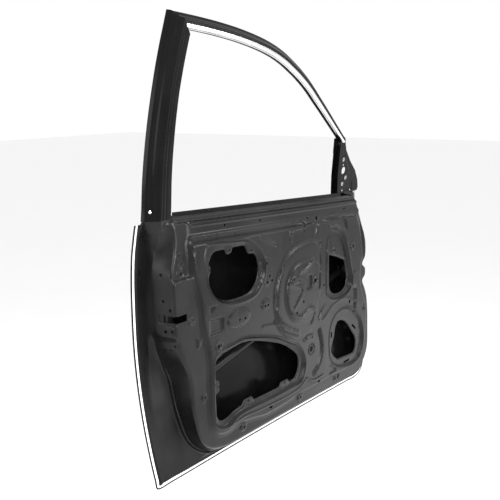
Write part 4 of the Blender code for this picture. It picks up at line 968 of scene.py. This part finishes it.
@dataclass
class OuterPanel:
    """The skin: a curved outer face, folded over the inner panel's flange round three sides."""

    hem: Spots
    tongue: float = 11.5
    # Where the painted highlight on the hem's folded face starts and ends, in from the edge
    strip: tuple[float, float] = (4.5, 11.0)
    edge: float = 1.5
    dish: tuple[float, float] = (150.0, 590.0)
    dish_radius: float = 40.0
    dish_depth: float = 10.0
    handle_holes: Spots = ((90, 592), (245, 592))
    handle_radius: float = 13.0
    net_step: float = 16.0
    edge_step: float = 6.0
    top_parts: int = 80
    dish_reach: float = 50.0
    dish_step: float = 4.0
    hole_sides: int = 24

    def depth(self, spots: np.ndarray) -> np.ndarray:
        """Give the outer face's depth with the hand recess."""
        gap = np.linalg.norm(spots - np.array(self.dish), axis=1) / self.dish_radius
        return skin_depth(spots) + self.dish_depth * (1.0 - np.clip(gap, 0.0, 1.0) ** 2) ** 2

    def build(self, coat: bpy.types.Material, hem_highlight: bpy.types.Material,
              dark: bpy.types.Material) -> bpy.types.Object:
        """Build the skin's mesh.

        Args:
            coat: the finish of its face.
            hem_highlight: a near-white painted highlight on a strip of the hem's folded face.
            dark: the coat's darker copy, as painted shade on the skin's inner side.
        Returns:
            The skin.
        """
        line = spline(self.hem, self.edge_step, False)
        start = offset(line, self.edge, False)
        ends = [start[-1] + (start[0] - start[-1]) * t for t in np.linspace(0.0, 1.0, self.top_parts)[1:-1]]
        outline = np.concatenate([start, ends])
        radius, sides = self.handle_radius, self.hole_sides
        holes = [oval(spot, radius, radius, sides) for spot in self.handle_holes]
        places = grid(outline.min(0), outline.max(0), (self.net_step, self.net_step))
        dish = np.array(self.dish)
        close = grid(dish - self.dish_reach, dish + self.dish_reach, (self.dish_step, self.dish_step))
        corners, faces = net(outline, holes, np.concatenate([places, close]))
        shape = Shape()
        shape.add(lift(corners, self.depth(corners)), faces[:, ::-1])
        rows = []
        for turn in np.linspace(0.0, math.pi, 7):
            flat = offset(line, self.edge * (1.0 - math.sin(turn)), False)
            rows.append(lift(flat, skin_depth(flat) + self.edge * (1.0 - math.cos(turn))))
        shape.rows(np.array(rows[:5]))
        folded = []
        for inset in (*self.strip, self.tongue):
            flat = offset(line, inset, False)
            folded.append(lift(flat, skin_depth(flat) + 2.0 * self.edge))
        shape.rows(np.array(rows[4:] + folded[:1]))
        # The strip between the first two insets takes the painted highlight of the hem
        shape.rows(np.array(folded[:2]), 1)
        shape.rows(np.array(folded[1:]))
        coats = [coat, hem_highlight, dark, dark]
        skin = shape.finish("outer_panel_skin", coats, ["outer_panel"], "black_coat", SHEET)
        # The skin's inner side takes the coat's darker copy: painted shade inside the door
        skin.modifiers["sheet"].material_offset = 2
        return skin


@dataclass
class WindowFrame:
    """The rolled window frame: a broad sash behind the glass and a narrow header, mitred at the corner."""

    foot: tuple[float, float] = (-2.5, 697.0)
    rear: Spots = ((-4, 726), (-11, 799), (-16, 870), (-20, 940), (-23, 1010), (-25, 1060), (-26, 1108))
    corner: tuple[float, float] = (-27.0, 1178.0)
    header: Spots = (
        (22, 1175), (94, 1170), (172, 1163), (256, 1153), (348, 1138), (420, 1122), (480, 1104), (530, 1085),
        (585, 1062), (656, 1027), (737, 979), (825, 923), (933, 852))
    sash_section: Spots = (
        (49.0, 2.8), (2.0, 0.0), (0.0, 2.8), (1.5, 14.0), (3.5, 19.3), (9.0, 21.5), (10.0, 29.4),
        (15.0, 34.0), (17.0, 43.2), (19.5, 46.0), (22.0, 46.0), (23.0, 44.6), (25.5, 44.6),
        (26.5, 46.0), (30.5, 46.0), (31.5, 44.8), (34.0, 44.8), (35.0, 46.0), (48.0, 46.0),
        (50.0, 43.2), (50.0, 28.5), (31.0, 27.6), (31.0, 11.0), (48.0, 9.2))
    header_section: Spots = (
        (33.0, 1.0), (1.7, 0.0), (0.0, 2.1), (6.8, 5.5), (9.0, 8.5), (10.2, 10.5), (12.9, 11.3), (13.2, 17.0),
        (14.3, 18.5), (16.3, 21.0), (18.5, 20.8), (19.5, 18.4), (21.5, 18.0), (23.5, 20.0), (27.0, 20.6),
        (30.5, 19.4), (33.0, 16.8), (34.0, 12.2), (23.1, 11.8), (23.1, 5.5), (32.6, 4.6))
    # Where the header's painted highlight runs, from the edge, and how far inboard its faces lie
    band: tuple[float, float] = (22.0, 34.5)
    band_depth: float = 12.5
    rivet: tuple[float, float, float] = (2.0, -82.0, 722.0)
    rivet_radius: float = 4.0
    rivet_axis: tuple[float, float, float] = (-0.75, -0.65, 0.1)
    sash_spread: float = 0.27
    header_spread: float = -0.6
    spread_top: float = 1000.0
    sheet: float = 1.2
    gap: float = 0.35
    step: float = 9.0

    def rail(self, path: np.ndarray, section: Spots, mitre: np.ndarray, side: float,
             band: tuple[float, float]) -> Shape:
        """Sweep a section along a path whose left side faces the window.

        Args:
            path: the outer edge, which stops before the corner.
            section: distances from the edge and inboard.
            mitre: the mitre's direction.
            side: which side of the mitre the rail lies on.
            band: how far from the edge the painted highlight starts and ends.
        Returns:
            The closed rail.
        """
        low, high = band
        line = rounded(section, 1.2, False, 2)
        loop = np.concatenate([line, offset(line, -self.sheet, False)[::-1]]) * np.array((side, 1.0))
        left = offset(path, 1.0, False) - path
        low_share = np.clip((self.spread_top - path[:, 1]) / (self.spread_top - BODY_HEIGHT), 0.0, 1.0)
        wide = 1.0 + (self.sash_spread if side < 0.0 else self.header_spread) * low_share
        rows = [spot + loop[:, :1] * normal * share for spot, normal, share in zip(path, left, wide)]
        tip = np.array(self.corner)
        ahead = (tip - path[-1]) / np.linalg.norm(tip - path[-1])
        facing = np.array([-mitre[1], mitre[0]]) * side
        gaps = (rows[-1] - tip) @ facing - self.gap
        rows.append(rows[-1] - ahead * (gaps / (ahead @ facing))[:, None])
        flat = np.array(rows)
        depth = frame_depth(flat[:, :, 1]) + loop[None, :, 1]
        shape = Shape()
        shape.rows(np.stack([flat[:, :, 0], -depth, flat[:, :, 1]], 2), closed=True)
        count, width = flat.shape[:2]
        # The faces of the band that take the painted highlight
        bright = (low <= loop[:, 0] * side) & (loop[:, 0] * side < high) & (loop[:, 1] > self.band_depth)
        shown = bright & (np.arange(width) < width // 2)
        shape.slots = [int(shown[i % width]) for i in range(len(shape.faces))]
        for row in (0, count - 1):
            base = row * width
            for i in range(width // 2 - 1):
                shape.faces.append((base + i, base + i + 1, base + width - 2 - i, base + width - 1 - i))
                shape.slots.append(0)
        return shape

    def build(self, dark: bpy.types.Material, bright: bpy.types.Material) -> list[bpy.types.Object]:
        """Build both rails.

        Args:
            dark: the coat's darker copy, which paints shade on the sash and the header.
            bright: the painted highlight on the header's band, which is also the pale metal of the sash
                rivet's head.
        Returns:
            The sash and the header.
        """
        corner = np.array(self.corner)
        down = np.array(self.rear[-1]) - corner
        ahead = np.array(self.header[0]) - corner
        mitre = down / np.linalg.norm(down) + ahead / np.linalg.norm(ahead)
        mitre = mitre / np.linalg.norm(mitre)
        rear = spline((self.foot,) + tuple(self.rear), self.step, False)
        front = spline(self.header, self.step, False)[::-1]
        sash = self.rail(rear, self.sash_section, mitre, -1.0, (0.0, 0.0))
        header = self.rail(front, self.header_section, mitre, 1.0, self.band)
        sash.dome(self.rivet, self.rivet_axis, self.rivet_radius, self.rivet_radius * 0.5, 1)
        return [sash.finish("rear_sash_rail", [dark, bright], ["rear_sash"], "black_coat", sharp=30.0),
                header.finish("header_rail", [dark, bright], ["header_sash"], "black_coat", sharp=30.0)]


@dataclass
class MirrorSail:
    """The panel in the mirror corner: flat, flanged in front and pierced for the mirror."""

    rim: Spots = (
        (947, 640), (976, 640), (980, 657), (1082, 657), (1086, 672), (1073, 700), (1044, 735), (1000, 768),
        (958, 808), (931.0, 851.0), (905.0, 826.0))
    screw_holes: Spots = ((950, 775), (984, 712), (968, 692))
    light_holes: Spots = ((934, 813), (957, 756.5), (977, 669), (1031, 666))
    wire_hole: tuple[float, float] = (963, 738)
    inner_field: Spots = (
        (950, 664), (1046, 664), (1030, 700), (1002, 738), (962, 780), (936, 808), (932, 800))
    gusset: Spots = ((884, 800), (940, 800), (955, 832), (936, 852), (892, 848))
    gusset_depth: float = 76.5
    screw_radius: float = 4.5
    light_radius: float = 3.4
    wire_radius: float = 12.0
    ring_radius: float = 10.0
    ring_press: tuple[float, float] = (1.2, 3.0)
    field_press: tuple[float, float] = (-2.5, 4.0)
    # Where the flange ends: in front of and below the first two, and above the third
    foot_lap: tuple[float, float] = (977.0, 700.0)
    top_lap: float = 815.0
    net_step: tuple[float, float] = (3.6, 3.0)
    web_step: tuple[float, float] = (8.0, 8.0)
    thickness: float = 1.2
    depth_foot: float = 64.0
    lean: float = 0.18
    inset: float = 3.0
    flange: float = 12.0

    def depth(self, spots: np.ndarray, parts: Sequence[Step | Ridge]) -> np.ndarray:
        """Give the leaning plane's depth with its relief.

        Args:
            spots: places on the panel.
            parts: its relief.
        Returns:
            One depth for each place.
        """
        level = self.depth_foot + self.lean * (spots[:, 1] - BODY_HEIGHT)
        for part in parts:
            level = level + part.height(spots)
        return level

    def build(self, coat: bpy.types.Material) -> bpy.types.Object:
        """Build the sail's mesh.

        Args:
            coat: its finish, the coat's darker copy, which paints shade on the sail.
        Returns:
            The sail.
        """
        rim = np.concatenate([rounded(self.rim[:-2], 5.0, False, 4), np.array(self.rim[-2:])])
        flat = offset(rim, self.inset, True)
        lap_x, lap_z = self.foot_lap
        fixed = (rim[:, 0] < lap_x) & (rim[:, 1] < lap_z) | (rim[:, 1] > self.top_lap)
        flat[fixed] = rim[fixed]
        holes = [oval(spot, self.screw_radius, self.screw_radius, 16) for spot in self.screw_holes]
        holes += [oval(spot, self.light_radius, self.light_radius, 14) for spot in self.light_holes]
        holes.append(oval(self.wire_hole, self.wire_radius, self.wire_radius, 28))
        rings = [oval(spot, self.ring_radius, self.ring_radius, 20) for spot in self.screw_holes]
        parts: list[Step | Ridge] = [Ridge(ring, *self.ring_press, True) for ring in rings]
        parts.append(Step(rounded(self.inner_field, 6.0, True), *self.field_press))
        corners, faces = net(flat, holes, grid(flat.min(0), flat.max(0), self.net_step))
        shape = Shape()
        shape.add(lift(corners, self.depth(corners, parts)), faces)
        level = self.depth(flat, parts)
        rows = []
        for t in (0.0, 0.25, 0.5, 0.75, 1.0):
            rows.append(lift(rim * (1.0 - t) + flat * t, level - self.flange * (1.0 - t) ** 2))
        shape.rows(np.array(rows)[:, ~fixed])
        web = rounded(self.gusset, 3.0, True, 4)
        corners, faces = net(web, [], grid(web.min(0), web.max(0), self.web_step))
        shape.add(lift(corners, np.full(len(corners), self.gusset_depth)), faces)
        return shape.finish(
            "mirror_sail_sheet", [coat], ["mirror_sail_panel"], "black_coat", self.thickness)


class Link:
    """A value or colour in a shader, for plain arithmetic."""

    def __init__(self, graph: "Nodes", socket: bpy.types.NodeSocket) -> None:
        """Wrap a socket."""
        self.graph = graph
        self.socket = socket

    def __add__(self, other: Any) -> "Link":
        """Add."""
        return self.graph.maths("ADD", self, other)

    __radd__ = __add__

    def __sub__(self, other: Any) -> "Link":
        """Subtract."""
        return self.graph.maths("SUBTRACT", self, other)

    def __rsub__(self, other: Any) -> "Link":
        """Subtract this from a number."""
        return self.graph.maths("SUBTRACT", other, self)

    def __mul__(self, other: Any) -> "Link":
        """Multiply."""
        return self.graph.maths("MULTIPLY", self, other)

    __rmul__ = __mul__

    def __truediv__(self, other: Any) -> "Link":
        """Divide."""
        return self.graph.maths("DIVIDE", self, other)

    def __rtruediv__(self, other: Any) -> "Link":
        """Divide a number by this."""
        return self.graph.maths("DIVIDE", other, self)

    def clip(self, low: float, high: float) -> "Link":
        """Bring a range of values to 0 to 1."""
        return self.graph.node("ShaderNodeMapRange", {"interpolation_type": "SMOOTHSTEP"},
                               {"Value": self, "From Min": low, "From Max": high})

    def also(self, output: str) -> "Link":
        """Give another output of the same node."""
        return Link(self.graph, self.socket.node.outputs[output])


class Nodes:
    """A node tree under way."""

    def __init__(self, tree: bpy.types.NodeTree) -> None:
        """Wrap a tree."""
        self.tree = tree

    def put(self, socket: bpy.types.NodeSocket, value: Any) -> None:
        """Link or set one input."""
        if isinstance(value, Link):
            self.tree.links.new(value.socket, socket)
        else:
            socket.default_value = value

    def add(self, kind: str, settings: dict[str, Any] | None = None,
            inputs: dict[Any, Any] | None = None) -> bpy.types.Node:
        """Add a node.

        Args:
            kind: the node's type.
            settings: its own settings.
            inputs: values or links by input name or number.
        Returns:
            The node.
        """
        node = self.tree.nodes.new(kind)
        for name, value in (settings or {}).items():
            setattr(node, name, value)
        for name, value in (inputs or {}).items():
            self.put(node.inputs[name], value)
        return node

    def node(self, kind: str, settings: dict[str, Any] | None = None, inputs: dict[Any, Any] | None = None,
             output: int | str = 0) -> Link:
        """Add a node and give one of its outputs."""
        return Link(self, self.add(kind, settings, inputs).outputs[output])

    def maths(self, kind: str, first: Any, second: Any) -> Link:
        """Add a sum of two values."""
        return self.node("ShaderNodeMath", {"operation": kind}, {0: first, 1: second})


class Graph(Nodes):
    """A material's shader graph."""

    def __init__(self, name: str) -> None:
        """Start a material with a plain surface shader."""
        self.material = bpy.data.materials.new(name)
        self.material.use_nodes = True
        super().__init__(self.material.node_tree)
        self.surface = self.tree.nodes["Principled BSDF"]
        self.place = self.node("ShaderNodeTexCoord", output="Object")

    def noise(self, scale: float, detail: float = 3.0, stretch: Sequence[float] = (1.0, 1.0, 1.0)) -> Link:
        """Add a noise between 0 and 1, in the object's metres.

        Args:
            scale: how fine it is.
            detail: how many finer layers it has.
            stretch: what the place is multiplied by along each axis.
        Returns:
            The noise.
        """
        settings = {"operation": "MULTIPLY"}
        place = self.node("ShaderNodeVectorMath", settings, {0: self.place, 1: tuple(stretch)})
        inputs = {"Vector": place, "Scale": scale, "Detail": detail}
        return self.node("ShaderNodeTexNoise", {}, inputs, "Fac")

    def mix(self, share: Any, first: Sequence[float], second: Sequence[float]) -> Link:
        """Mix two colours."""
        inputs = {0: share, 6: (*first, 1.0), 7: (*second, 1.0)}
        return self.node("ShaderNodeMix", {"data_type": "RGBA"}, inputs, 2)

    def bump(self, height: Link, strength: float, distance: float) -> Link:
        """Turn heights into a surface direction."""
        return self.node("ShaderNodeBump", {}, {"Height": height, "Strength": strength, "Distance": distance},
                         "Normal")

    def shade(self, colour: Any, rough: Any, normal: Link | None = None,
              **plain: float) -> bpy.types.Material:
        """Finish the surface.

        Args:
            colour: its colour.
            rough: its roughness.
            normal: its small relief.
            plain: metallic or shine, the same all over.
        Returns:
            The material.
        """
        self.put(self.surface.inputs["Base Color"], colour)
        self.put(self.surface.inputs["Roughness"], rough)
        if normal is not None:
            self.put(self.surface.inputs["Normal"], normal)
        names = {"metallic": "Metallic", "shine": "Specular IOR Level"}
        for name, value in plain.items():
            self.put(self.surface.inputs[names[name]], value)
        return self.material


@dataclass(frozen=True)
class DipCoat:
    """Black electro-dip coat on pressed steel: dark, satin, with a fine orange peel and dusty patches."""

    name: str = "black_dip_coat"
    deep: Sequence[float] = (0.004, 0.004, 0.0045)
    worn: Sequence[float] = (0.009, 0.009, 0.0095)
    smooth: float = 0.26
    rough: float = 0.34
    shine: float = 0.20
    peel_scale: float = 900.0
    peel: float = 0.06
    cloud_scale: float = 9.0
    run_scale: float = 26.0
    speck_scale: float = 420.0
    wave_scale: float = 160.0
    peel_depth: float = 0.0002

    def build(self) -> bpy.types.Material:
        """Make the material."""
        graph = Graph(self.name)
        clouds = graph.noise(self.cloud_scale, 5.0)
        runs = graph.noise(self.run_scale, 4.0, (1.0, 1.0, 0.25))
        patch = (clouds * 0.6 + runs * 0.4).clip(0.35, 0.68)
        specks = graph.noise(self.speck_scale, 2.0).clip(0.66, 0.74)
        colour = graph.mix(patch * 0.8 + specks * 0.2, self.deep, self.worn)
        rough = patch * (self.rough - self.smooth) + self.smooth + specks * 0.1
        peel = graph.noise(self.peel_scale, 1.0) + graph.noise(self.wave_scale, 2.0) * 1.5
        return graph.shade(colour, rough, graph.bump(peel, self.peel, self.peel_depth), shine=self.shine)


@dataclass(frozen=True)
class HeaderHighlight:
    """Painted highlight on the header's band: pale, smooth and fully metallic, so that it mirrors the white
    surroundings as a bright strip; lightly clouded.
    """

    name: str = "header_painted_highlight"
    pale: Sequence[float] = (0.78, 0.78, 0.78)
    dull: Sequence[float] = (0.62, 0.62, 0.62)

    def build(self) -> bpy.types.Material:
        """Make the material."""
        graph = Graph(self.name)
        clouds = graph.noise(14.0, 3.0).clip(0.35, 0.7)
        return graph.shade(graph.mix(clouds, self.pale, self.dull), clouds * 0.08 + 0.16, metallic=1.0)


@dataclass(frozen=True)
class HemHighlight:
    """Painted highlight along the hem: a near-white strip standing in for the light that the hem's fold
    reflects.
    """

    name: str = "hem_painted_highlight"
    pale: Sequence[float] = (0.95, 0.95, 0.94)
    dull: Sequence[float] = (0.86, 0.86, 0.85)

    def build(self) -> bpy.types.Material:
        """Make the material."""
        graph = Graph(self.name)
        ripple = graph.noise(40.0, 2.0)
        colour = graph.mix(ripple.clip(0.45, 0.75), self.pale, self.dull)
        rough = ripple * 0.2 + 0.3
        return graph.shade(colour, rough, graph.bump(ripple, 0.1, 0.0003))


@dataclass(frozen=True)
class ZincSteel:
    """Zinc-plated steel with its cloudy grain."""

    name: str = "zinc_steel"
    bright: Sequence[float] = (0.52, 0.52, 0.50)
    dull: Sequence[float] = (0.36, 0.36, 0.35)

    def build(self) -> bpy.types.Material:
        """Make the material."""
        graph = Graph(self.name)
        cloud = graph.noise(60.0, 6.0)
        colour = graph.mix(cloud.clip(0.35, 0.65), self.bright, self.dull)
        rough = cloud * 0.25 + 0.25
        return graph.shade(colour, rough, graph.bump(graph.noise(500.0, 2.0), 0.15, 0.0002), metallic=0.9)


@dataclass(frozen=True)
class Mastic:
    """Soft black damping mastic, matt and lumpy."""

    name: str = "mastic"
    dark: Sequence[float] = (0.020, 0.020, 0.020)
    dusty: Sequence[float] = (0.045, 0.044, 0.042)

    def build(self) -> bpy.types.Material:
        """Make the material."""
        graph = Graph(self.name)
        lumps = graph.noise(220.0, 4.0)
        colour = graph.mix(lumps.clip(0.4, 0.7), self.dark, self.dusty)
        return graph.shade(colour, lumps * 0.15 + 0.78, graph.bump(lumps, 0.5, 0.0008))


class Finish(Enum):
    """The finishes of the carried pieces."""

    BLACK_COAT = "black_coat"
    # The black coat's darker copy: painted shade
    SHADED_COAT = "shaded_coat"
    ZINC_STEEL = "zinc_steel"
    MASTIC = "mastic"


@dataclass
class CarriedParts:
    """The frame's own nodes that stay in sight, with their finishes."""

    zinc: Sequence[str] = (
        "upper_hinge_tapping_plate", "lower_hinge_tapping_plate", "mirror_weld_nut_1", "mirror_weld_nut_2",
        "mirror_weld_nut_3")
    pads: str = "mastic_pad"
    # Nodes given the coat's darker copy: painted shade on the belt strip and the division channel
    dark: Sequence[str] = ("belt_inner_reinforcement", "division_channel")
    replaced: Sequence[str] = ("inner_panel", "outer_panel", "rear_sash", "header_sash", "mirror_sail_panel")

    def kind(self, name: str) -> Finish:
        """Tell a node's finish.

        Args:
            name: the node's name.
        Returns:
            Its finish.
        """
        if name in self.zinc:
            return Finish.ZINC_STEEL
        if name in self.dark:
            return Finish.SHADED_COAT
        return Finish.MASTIC if name.startswith(self.pads) else Finish.BLACK_COAT

    def dress(self, nodes: dict[str, bpy.types.Object], finishes: dict[Finish, bpy.types.Material]) -> None:
        """Give each carried node its finish.

        Args:
            nodes: the frame's nodes.
            finishes: the materials.
        """
        for name, node in nodes.items():
            if name in self.replaced:
                continue
            node.data.materials.clear()
            node.data.materials.append(finishes[self.kind(name)])
            log.info("%s: %s", name, self.kind(name).value)


@dataclass
class Studio:
    """White surroundings, soft lamps, a pale floor and the photograph's camera."""

    eye: Sequence[float] = (-1384.8, -1369.1, 999.6)
    azimuth: float = 54.315
    pitch: float = -11.212
    roll: float = -0.764
    lens: float = 57.454
    sensor: float = 36.0
    clip: tuple[float, float] = (0.05, 50.0)
    floor_drop: float = 1100.0
    floor_size: float = 60000.0
    floor_colours: tuple[Sequence[float], Sequence[float]] = ((0.90, 0.90, 0.90), (0.92, 0.92, 0.92))
    floor_rough: float = 0.7
    white_light: float = 1.0
    soft_light: float = 1.0
    lamps: Sequence[tuple[Sequence[float], Sequence[float], float, float]] = (
        ((2440.0, -1240.0, -450.0), (100.0, -190.0, 1160.0), 800.0, 3.0),
        ((-2400.0, 1300.0, 300.0), (50.0, -60.0, 350.0), 900.0, 9.0),
        ((-300.0, -900.0, 2900.0), (500.0, -100.0, 500.0), 700.0, 75.0),
        ((-1500.0, -1700.0, 1500.0), (400.0, -80.0, 400.0), 1500.0, 66.0),
        ((900.0, -2500.0, 500.0), (300.0, -80.0, 400.0), 700.0, 28.0),
        ((2200.0, -1900.0, 1200.0), (500.0, -80.0, 400.0), 700.0, 16.0),
        ((600.0, 1800.0, 2200.0), (500.0, 0.0, 600.0), 1500.0, 30.0))

    def world(self) -> None:
        """Make the surroundings white to the eye and in reflections, and a soft light elsewhere."""
        world = bpy.data.worlds.new("white_room")
        bpy.context.scene.world = world
        world.use_nodes = True
        world.node_tree.nodes.clear()
        nodes = Nodes(world.node_tree)
        camera = nodes.node("ShaderNodeLightPath", output="Is Camera Ray")
        seen = nodes.maths("MAXIMUM", camera, camera.also("Is Glossy Ray"))
        clear = nodes.maths("MAXIMUM", seen, camera.also("Is Transmission Ray"))
        white, soft = [nodes.node("ShaderNodeBackground", {}, {"Color": WHITE, "Strength": strength})
                       for strength in (self.white_light, self.soft_light)]
        blend = nodes.node("ShaderNodeMixShader", {}, {0: clear, 1: soft, 2: white})
        nodes.add("ShaderNodeOutputWorld", {}, {"Surface": blend})

    def light(self) -> None:
        """Hang the soft lamps."""
        for number, (spot, target, size, power) in enumerate(self.lamps, 1):
            data = bpy.data.lights.new("soft_lamp_%d" % number, "AREA")
            data.shape = "DISK"
            data.size = size * MM
            data.energy = power
            lamp = bpy.data.objects.new(data.name, data)
            bpy.context.scene.collection.objects.link(lamp)
            place = Vector((np.array(spot) - ORIGIN) * MM)
            aim = Vector((np.array(target) - ORIGIN) * MM) - place
            lamp.matrix_world = Matrix.Translation(place) @ aim.to_track_quat("-Z", "Y").to_matrix().to_4x4()
            lamp.visible_camera = False

    def floor(self) -> None:
        """Lay the pale floor below the hung shell."""
        graph = Graph("pale_floor")
        grain = graph.noise(3.0, 3.0)
        material = graph.shade(graph.mix(grain, *self.floor_colours), self.floor_rough)
        level = (-self.floor_drop - ORIGIN[2]) * MM
        half = self.floor_size * MM / 2.0
        data = bpy.data.meshes.new("floor")
        corners = [(x, y, level) for x, y in ((-half, -half), (half, -half), (half, half), (-half, half))]
        data.from_pydata(corners, [], [(0, 1, 2, 3)])
        data.materials.append(material)
        floor = bpy.data.objects.new("floor", data)
        bpy.context.scene.collection.objects.link(floor)
        floor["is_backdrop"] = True

    def camera(self) -> None:
        """Set the camera at the photograph's viewpoint."""
        data = bpy.data.cameras.new("photo_view")
        data.lens = self.lens
        data.sensor_width = self.sensor
        data.clip_start, data.clip_end = self.clip
        camera = bpy.data.objects.new("photo_view", data)
        bpy.context.scene.collection.objects.link(camera)
        turn, tilt, lean = [math.radians(value) for value in (self.azimuth, self.pitch, self.roll)]
        ahead = Vector((math.sin(turn) * math.cos(tilt), math.cos(turn) * math.cos(tilt), math.sin(tilt)))
        level = Vector((math.cos(turn), -math.sin(turn), 0.0))
        upright = level.cross(ahead)
        right = math.cos(lean) * level + math.sin(lean) * upright
        up = -math.sin(lean) * level + math.cos(lean) * upright
        pose = Matrix((right, up, -ahead)).transposed().to_4x4()
        pose.translation = Vector((np.array(self.eye) - ORIGIN) * MM)
        camera.matrix_world = pose
        bpy.context.scene.camera = camera

    def build(self) -> None:
        """Set up everything round the object."""
        bpy.context.scene.view_settings.view_transform = "Standard"
        self.world()
        self.light()
        self.floor()
        self.camera()


def plain(bounds: Any) -> Any:
    """Turn bounds into plain lists.

    Args:
        bounds: lists, vectors or arrays of numbers, also inside a dict.
    Returns:
        The same numbers in plain lists.
    """
    if isinstance(bounds, dict):
        return {key: plain(value) for key, value in bounds.items()}
    if isinstance(bounds, (float, int, str)) or bounds is None:
        return bounds
    return [plain(value) for value in bounds]


def main() -> None:
    """Build the shell's looks, piece by piece, and the room about it."""
    logging.basicConfig(level=logging.INFO, format="%(name)s: %(message)s")
    before = plain(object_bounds())
    coat = DipCoat().build()
    # A darker copy of the dip coat: painted shade on the window frame, the mirror sail, the skin's inner
    # side, the belt strip and the division channel; the drain plug's head takes it too
    dark = DipCoat("shaded_dip_coat", (0.003, 0.003, 0.003), (0.006, 0.006, 0.006),
                   smooth=0.14, rough=0.22, shine=0.10, peel=0.04).build()
    finishes = {
        Finish.BLACK_COAT: coat, Finish.SHADED_COAT: dark, Finish.ZINC_STEEL: ZincSteel().build(),
        Finish.MASTIC: Mastic().build()}
    panel = InnerPanel()
    panel.build(coat, dark)
    # The skin, with a painted highlight along its hem strip and painted shade (the coat's darker copy) on its
    # inner side
    OuterPanel(panel.hem).build(coat, HemHighlight().build(), dark)
    # The painted highlight of the header's band, which the sash rivet's metal head shares
    bright = HeaderHighlight().build()
    WindowFrame().build(dark, bright)
    MirrorSail().build(dark)
    CarriedParts().dress(frame["nodes"], finishes)
    Studio().build()
    {"frame": before, "model": plain(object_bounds())}


if __name__ == "__main__":
    main()
